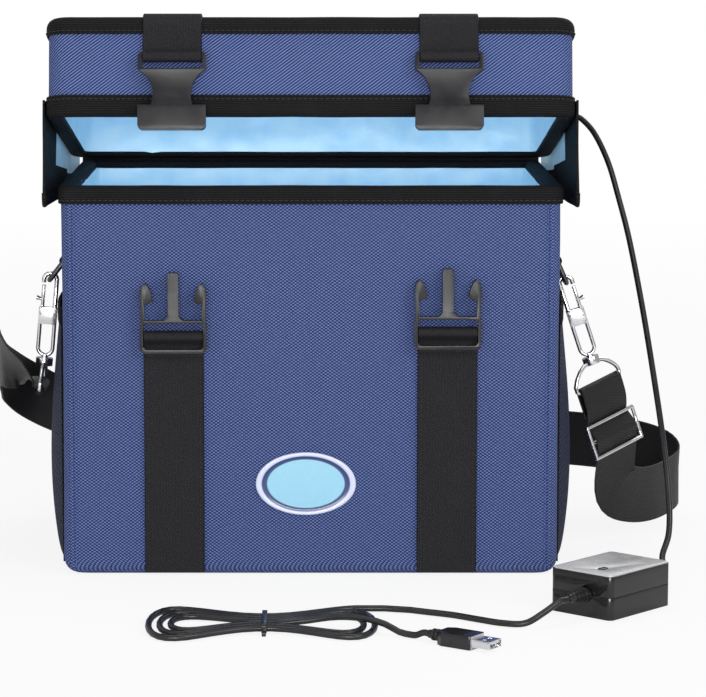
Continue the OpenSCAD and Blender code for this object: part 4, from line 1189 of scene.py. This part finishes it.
def hook_point(s, p):
    """A point of the snap hook's own frame, which hangs from the ring's bow."""
    ring, a = RING_LEAN[s], -s * HOOK_LEAN[s]
    eye = Vector((s * (161 + 16 * math.sin(ring)), 0, RING_Z - 16 * math.cos(ring)))
    return eye + Vector((p[0] * math.cos(a) + p[2] * math.sin(a), p[1],
                         p[2] * math.cos(a) - p[0] * math.sin(a)))


def swivel_point(s, p):
    """A point of the strap frame's own frame, below the hook's neck."""
    w = FRAME_TURN[s]
    return hook_point(s, (p[0] * math.cos(w) - p[1] * math.sin(w),
                          p[0] * math.sin(w) + p[1] * math.cos(w), p[2] - 56))


def swivel_way(s, p):
    return swivel_point(s, p) - swivel_point(s, (0, 0, 0))


print("right swivel at", tuple(round(c, 1) for c in swivel_point(1, (0, 0, 0))))

# %% Shoulder strap route
STRAP_W, STRAP_T, TURN_R, WEAVE = 38.0, 1.5, 2.45, 2.2
STEPS = 6


def bar_turn(a0, a1):
    angles = [math.radians(a0 + (a1 - a0) * k / 8) for k in range(9)]
    return [(0, -TURN_R * math.cos(a), -16 + TURN_R * math.sin(a)) for a in angles]


right_end = [swivel_point(1, p) for p in (
    [(0, TURN_R - 0.2, -34), (0, TURN_R - 0.1, -26)] + bar_turn(180, 0)
    + [(0, -TURN_R + 0.4, -25.5), (0, -1.3, -30), (0, 0.4, -34.8), (0, WEAVE, -39.4),
       (0, 0, -44.6), (0, -WEAVE, -50), (0, 0, -55.4), (0, WEAVE, -60.6)])]
right_run = [
    (203, 8, 36), (217, 22, 27), (236, 43, 26), (252, 72, 31), (244, 97, 40), (214, 114, 46),
    (160, 122, 50), (80, 126, 52), (0, 127, 54), (-80, 127, 56), (-140, 127, 60), (-172, 124, 70),
    (-196, 114, 84), (-209, 94, 98), (-211, 70, 109), (-209, 42, 117), (-204.5, 16, 119),
    (-197, 3.5, 116)]
left_end = [swivel_point(-1, p) for p in [(0, 12, -9.5), (0, 5, -13)] + bar_turn(90, -150)]
way_right, way_left = swivel_way(1, (1, 0, 0)), swivel_way(-1, (-1, 0, 0))
route = right_end + right_run + left_end
ways = ([way_right] * len(right_end) + [(0.7, 0.5, 0.5), (0.3, 0.2, 0.9)]
        + [(0, 0, 1)] * (len(right_run) - 5)
        + [(0, -0.1, 1), (0, -0.35, 0.94), (0, -0.65, 0.76), (0, -0.88, 0.48)]
        + [way_left] * (len(left_end) - 1))
strap_path = smooth_curve(route, STEPS)
strap_rows, strap_uv = band_rows(strap_path, smooth_curve(ways, STEPS), STRAP_W, STRAP_T)


def strap_index(p):
    """Row of the strap that starts at a point of the right hand run."""
    return (len(right_end) + right_run.index(p)) * STEPS


marks = [strap_index(p) for p in (
    (203, 8, 36), (217, 22, 27), (244, 97, 40), (0, 127, 54), (-80, 127, 56), (-209, 94, 98),
    (-209, 42, 117), (-204.5, 16, 119))]
stretches = [
    ("strap_grip_right", 0, marks[0], None, "swivel_right"),
    ("strap_turn_right", marks[0], marks[1], "hook_right", "swivel_right"),
    ("strap_bend_right", marks[1], marks[2], "ring_right", "hook_right"),
    ("strap_rise_right", marks[2], marks[3], "case", "ring_right"),
    ("strap_back", marks[3], marks[4], None, "case"),
    ("strap_rise_left", marks[4], marks[5], "case", "ring_left"),
    ("strap_bend_left", marks[5], marks[6], "ring_left", "hook_left"),
    ("strap_turn_left", marks[6], marks[7], "hook_left", "swivel_left"),
    ("strap_grip_left", marks[7], len(strap_path) - 1, None, "swivel_left"),
]
for name, a, b, first, second in stretches:
    part = grid_piece(name, strap_rows[a:b + 1], strap_uv[a:b + 1], strap_web,
                      wrap_u=True, caps=True)
    finished(part, 50)
    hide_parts("shoulder_strap")
    if first is None:
        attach(part, second)
        continue
    near, far = strap_path[a] * MM, strap_path[b] * MM
    if name.endswith("right"):
        near, far = far, near
    tuple(near)
    tuple(far)
    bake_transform(part)
print("shoulder strap", round(length_of(strap_path)), "mm")

# %% [markdown]
# ## Hard pieces
# A CAD piece has perfectly sharp edges, and nothing moulded or plated does. So
# each hard piece is a merged copy of its CAD mesh with a small bevel on every
# edge. Flat areas are dissolved into single faces first, or the bevel would
# follow the triangles.


# %% Bevelled copies
def dressed(node, bevel, *materials, pick=None):
    """A bevelled copy of a CAD node. pick(centre, normal) chooses a material's number."""
    mesh = frame["nodes"][node].data.copy()
    mesh.materials.clear()
    piece = linked(node + "_piece", mesh, *materials)
    bm = bmesh.new()
    bm.from_mesh(piece.data)
    bmesh.ops.remove_doubles(bm, verts=bm.verts, dist=2e-6)
    bmesh.ops.dissolve_limit(bm, angle_limit=math.radians(0.6), verts=bm.verts, edges=bm.edges)
    for face in bm.faces:
        face.material_index = pick(face.calc_center_median(), face.normal) if pick else 0
    bm.to_mesh(piece.data)
    bm.free()
    if bevel:
        round_edges = piece.modifiers.new("edges", "BEVEL")
        round_edges.width = bevel * MM
        round_edges.segments = 2
        round_edges.limit_method = "ANGLE"
        round_edges.angle_limit = math.radians(28)
        round_edges.use_clamp_overlap = True
    settle(piece, 38, NODE_SLOT[node], NODE_BODY[node], node)
    return piece


for side, _ in SIDES:
    for node, bevel, material in (
        ("tongue", 0.45, acetal), ("socket", 0.5, acetal), ("d_ring", 0.0, dark_chrome),
        ("snap_hook", 0.25, chrome), ("hook_gate", 0.12, chrome), ("swivel_frame", 0.2, chrome),
    ):
        dressed(f"{node}_{side}", bevel, material)
for node, bevel, material in (
    ("strap_adjuster", 0.0, chrome), ("lamp_tray", 0.2, reflector), ("lamp_tubes", 0.6, quartz),
    ("lamp_holders", 0.5, white_moulding), ("lamp_guard", 0.0, chrome), ("cord_gland", 0.3, sheath),
):
    dressed(node, bevel, material)
print("hard pieces dressed")

# %% Control box and plug
BOX_AT, BOX_TURN, BOX_H = Vector((180, -200, 0)), math.radians(48), 27.0


def top_plate(centre, normal):
    return 1 if centre.z > (BOX_H - 0.95) * MM else 0


dressed("control_box", 0.5, black_gloss)
dressed("box_cover", 0.55, black_gloss, grey_gloss, pick=top_plate)
dressed("box_button", 0.4, black_gloss)

PLUG_AT, PLUG_TURN, PLUG_Z = Vector((68, -286, 0)), math.radians(-36), 4.2
SHELL_FROM = 33.0


def shell_part(centre, normal):
    along = (centre / MM - PLUG_AT).dot(Vector((math.cos(PLUG_TURN), math.sin(PLUG_TURN), 0)))
    return 1 if along > SHELL_FROM - 0.3 else 0


dressed("usb_plug", 0.35, black_gloss, chrome, pick=shell_part)
print("control box and plug dressed")

# %% [markdown]
# ## Cords
# A cord is a real length of something flexible. Both routes are the CAD's own
# points, smoothed the same way. The thin lead, the hank and the tail are one
# unbroken cord, so they are one curve. The lamp's cord crosses the hinge; it is
# a mesh tube, baked where it lies.

# %% Cord routes
CORD_D = 3.8
FLOOR_Z = CORD_D / 2 + 0.1


def turned_frame(at, turn):
    """A function from a piece's own frame, turned on the floor, to the scene."""
    c, s = math.cos(turn), math.sin(turn)
    return lambda x, y, z: at + Vector((x * c - y * s, x * s + y * c, z))


box_point, plug_point = turned_frame(BOX_AT, BOX_TURN), turned_frame(PLUG_AT, PLUG_TURN)


def hank_point(t):
    """One point of the hank's dog bone, t in degrees round it."""
    turn, c, s = t / 360, math.cos(math.radians(t)), math.sin(math.radians(t))
    a, w, b = 71 - 6.5 * turn, 18 - 5.6 * turn, 80 - 16 * turn
    rise = 0.6 * max(0, 1 - (a * c / 45) ** 2)
    return Vector((a * c, s * (w + b * c * c), FLOOR_Z + rise))


hank_at = Vector((-27, -252, 0))
hank_exit = [(13.5, -0.6, 2.8), (26, -0.6, 4.2), (38, -2.6, 6.4), (49, -6.6, 7.6),
             (60, -12, 7.6), (70, -18, 6), (78, -23, 2.6), (84, -27, FLOOR_Z)]
hank = [Vector((x, y, FLOOR_Z)) + hank_at for x, y in ((96, 31), (86, 36.5), (71, 40.6))]
hank += [hank_point(40 + 950 * k / 126) + hank_at for k in range(127)]
hank += [Vector(p) + hank_at for p in smooth_curve(hank_exit, 2)]
lead_start = box_point(-47, -4, 13.5)
lead_dir = Vector((-math.cos(BOX_TURN), -math.sin(BOX_TURN), 0))
lead = smooth_curve(
    [lead_start, lead_start + 4.5 * lead_dir, lead_start + 9 * lead_dir, (136, -250, 8),
     (125, -254, 2.8), (112, -250, FLOOR_Z), (98, -240, FLOOR_Z), (84, -229, FLOOR_Z), hank[0]], 6)
tail = smooth_curve([hank[-1], (60.5, -281.2, 2.2), plug_point(-4, 0, PLUG_Z),
                     plug_point(0, 0, PLUG_Z)], 5)
usb_path = lead[:-1] + hank[:-1] + tail
print("usb cord", round(length_of(usb_path)), "mm")


# %% Thin cord as one curve
def cord_curve(name, path, material):
    data = bpy.data.curves.new(name, "CURVE")
    data.dimensions = "3D"
    data.bevel_depth = CORD_D / 2 * MM
    data.bevel_resolution = 4
    data.use_fill_caps = True
    spline = data.splines.new("POLY")
    spline.points.add(len(path) - 1)
    for point, p in zip(spline.points, path):
        point.co = (*(Vector(p) * MM), 1)
    spline.use_smooth = True
    data.materials.append(material)
    piece = bpy.data.objects.new(name, data)
    bpy.context.collection.objects.link(piece)
    return piece


usb_cord = cord_curve("usb_cord", usb_path, sheath)
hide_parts("usb_lead", "usb_hank", "usb_tail")
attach(usb_cord, "case")

tie = dressed("hank_tie", 0.4, sheath)
print("usb cord made")


# %% Lamp cord as a mesh tube
def tube_piece(name, path, radius, sides, material):
    points, uv, run, up = [], [], 0.0, Vector((0.3, -0.9, 0.1))
    for i, p in enumerate(path):
        ahead = (path[min(i + 1, len(path) - 1)] - path[max(i - 1, 0)]).normalized()
        a = ahead.cross(up).normalized()
        b = a.cross(ahead)
        if i:
            run += (p - path[i - 1]).length
        angles = [2 * math.pi * k / sides for k in range(sides)]
        points.append([(p + radius * (math.cos(w) * a - math.sin(w) * b)) * MM for w in angles])
        uv.append([(radius * w * MM, run * MM) for w in angles + [2 * math.pi]])
    return grid_piece(name, points, uv, material, wrap_u=True, caps=True)


gland_tip = on_lid((LID_W / 2 + 9, 52, 20))
lamp_end = box_point(47, 0, 13.5)
lamp_route = [
    gland_tip, gland_tip + Vector((4, 0, 0)), gland_tip + Vector((9, -1, -1.5)),
    (190, 49, 267), (198, 36, 249), (203, 16, 228), (208, -10, 202), (213, -45, 164),
    (217, -78, 126), (221, -106, 86), (223, -124, 54), (222, -136, 33), (217, -146, 20),
    lamp_end - 9 * lead_dir, lamp_end - 4.5 * lead_dir, lamp_end]
lamp_path = smooth_curve(lamp_route, 8)
lamp_cord = tube_piece("lamp_cord_piece", lamp_path, CORD_D / 2, 16, sheath)
finished(lamp_cord, 60)
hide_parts("lamp_cord")
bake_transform(lamp_cord)
print("lamp cord", round(length_of(lamp_path)), "mm")

# %% [markdown]
# ## Floor, backdrop and light
# The floor is white to the camera, and keeps a light contact shadow: a share of
# plain white is mixed in for camera rays, and far from the case it is all white.
# Large soft lamps give the even light of a product photograph. One of them is
# low in front, where it lights the lining through the opening.

# %% Floor and light
t = Tree("floor_white", (0.86, 0.86, 0.86), 0.9)
paths = t.node("ShaderNodeLightPath")
glow = t.node("ShaderNodeEmission", {"Color": (1, 1, 1, 1), "Strength": 1.0})
place = t.node("ShaderNodeTexCoord", out="Object")
spread = t.node("ShaderNodeVectorMath", {0: place}, out="Value", operation="LENGTH")
far = t.ramp(spread, 0.7, 2.5, 0.86, 1.0)
for_camera = t.math("MULTIPLY", paths, far)
mixed = t.node("ShaderNodeMixShader", {0: for_camera, 1: t.shader.outputs[0], 2: glow})
t.links.new(mixed, t.nodes["Material Output"].inputs["Surface"])
bpy.ops.mesh.primitive_plane_add(size=120, location=(0, 0, -0.0004))
floor = bpy.context.object
floor.name = "floor"
floor.data.materials.append(t.material)

world = bpy.data.worlds.new("studio")
world.use_nodes = True
scene.world = world
nodes, links = world.node_tree.nodes, world.node_tree.links
light_path = nodes.new("ShaderNodeLightPath")
either = nodes.new("ShaderNodeMath")
either.operation = "MAXIMUM"
links.new(light_path.outputs["Is Camera Ray"], either.inputs[0])
links.new(light_path.outputs["Is Transmission Ray"], either.inputs[1])
strength = nodes.new("ShaderNodeMapRange")
strength.inputs[3].default_value = 0.40
strength.inputs[4].default_value = 1.0
links.new(either.outputs[0], strength.inputs[0])
background = nodes["Background"]
background.inputs[0].default_value = (1, 1, 1, 1)
links.new(strength.outputs[0], background.inputs[1])


def soft_box(name, place, aim, size, watts):
    data = bpy.data.lights.new(name, "AREA")
    data.shape = "RECTANGLE"
    data.size, data.size_y = size
    data.energy = watts
    lamp = bpy.data.objects.new(name, data)
    lamp.location = place
    lamp.rotation_euler = (Vector(aim) - Vector(place)).to_track_quat("-Z", "Y").to_euler()
    bpy.context.collection.objects.link(lamp)


soft_box("key", (1.3, -1.5, 1.1), (0, 0, 0.14), (1.0, 1.0), 14)
soft_box("front", (-0.1, -2.4, 0.42), (0, 0, 0.26), (1.4, 0.5), 28)
soft_box("fill", (-1.5, -1.0, 0.9), (0, 0, 0.14), (1.0, 1.0), 3)
soft_box("top", (0, 0.1, 1.9), (0, 0, 0.1), (1.6, 1.2), 9)
soft_box("rear", (0.9, 1.6, 1.2), (0, 0, 0.15), (1.0, 1.0), 7)
print("floor, world and five soft lamps")
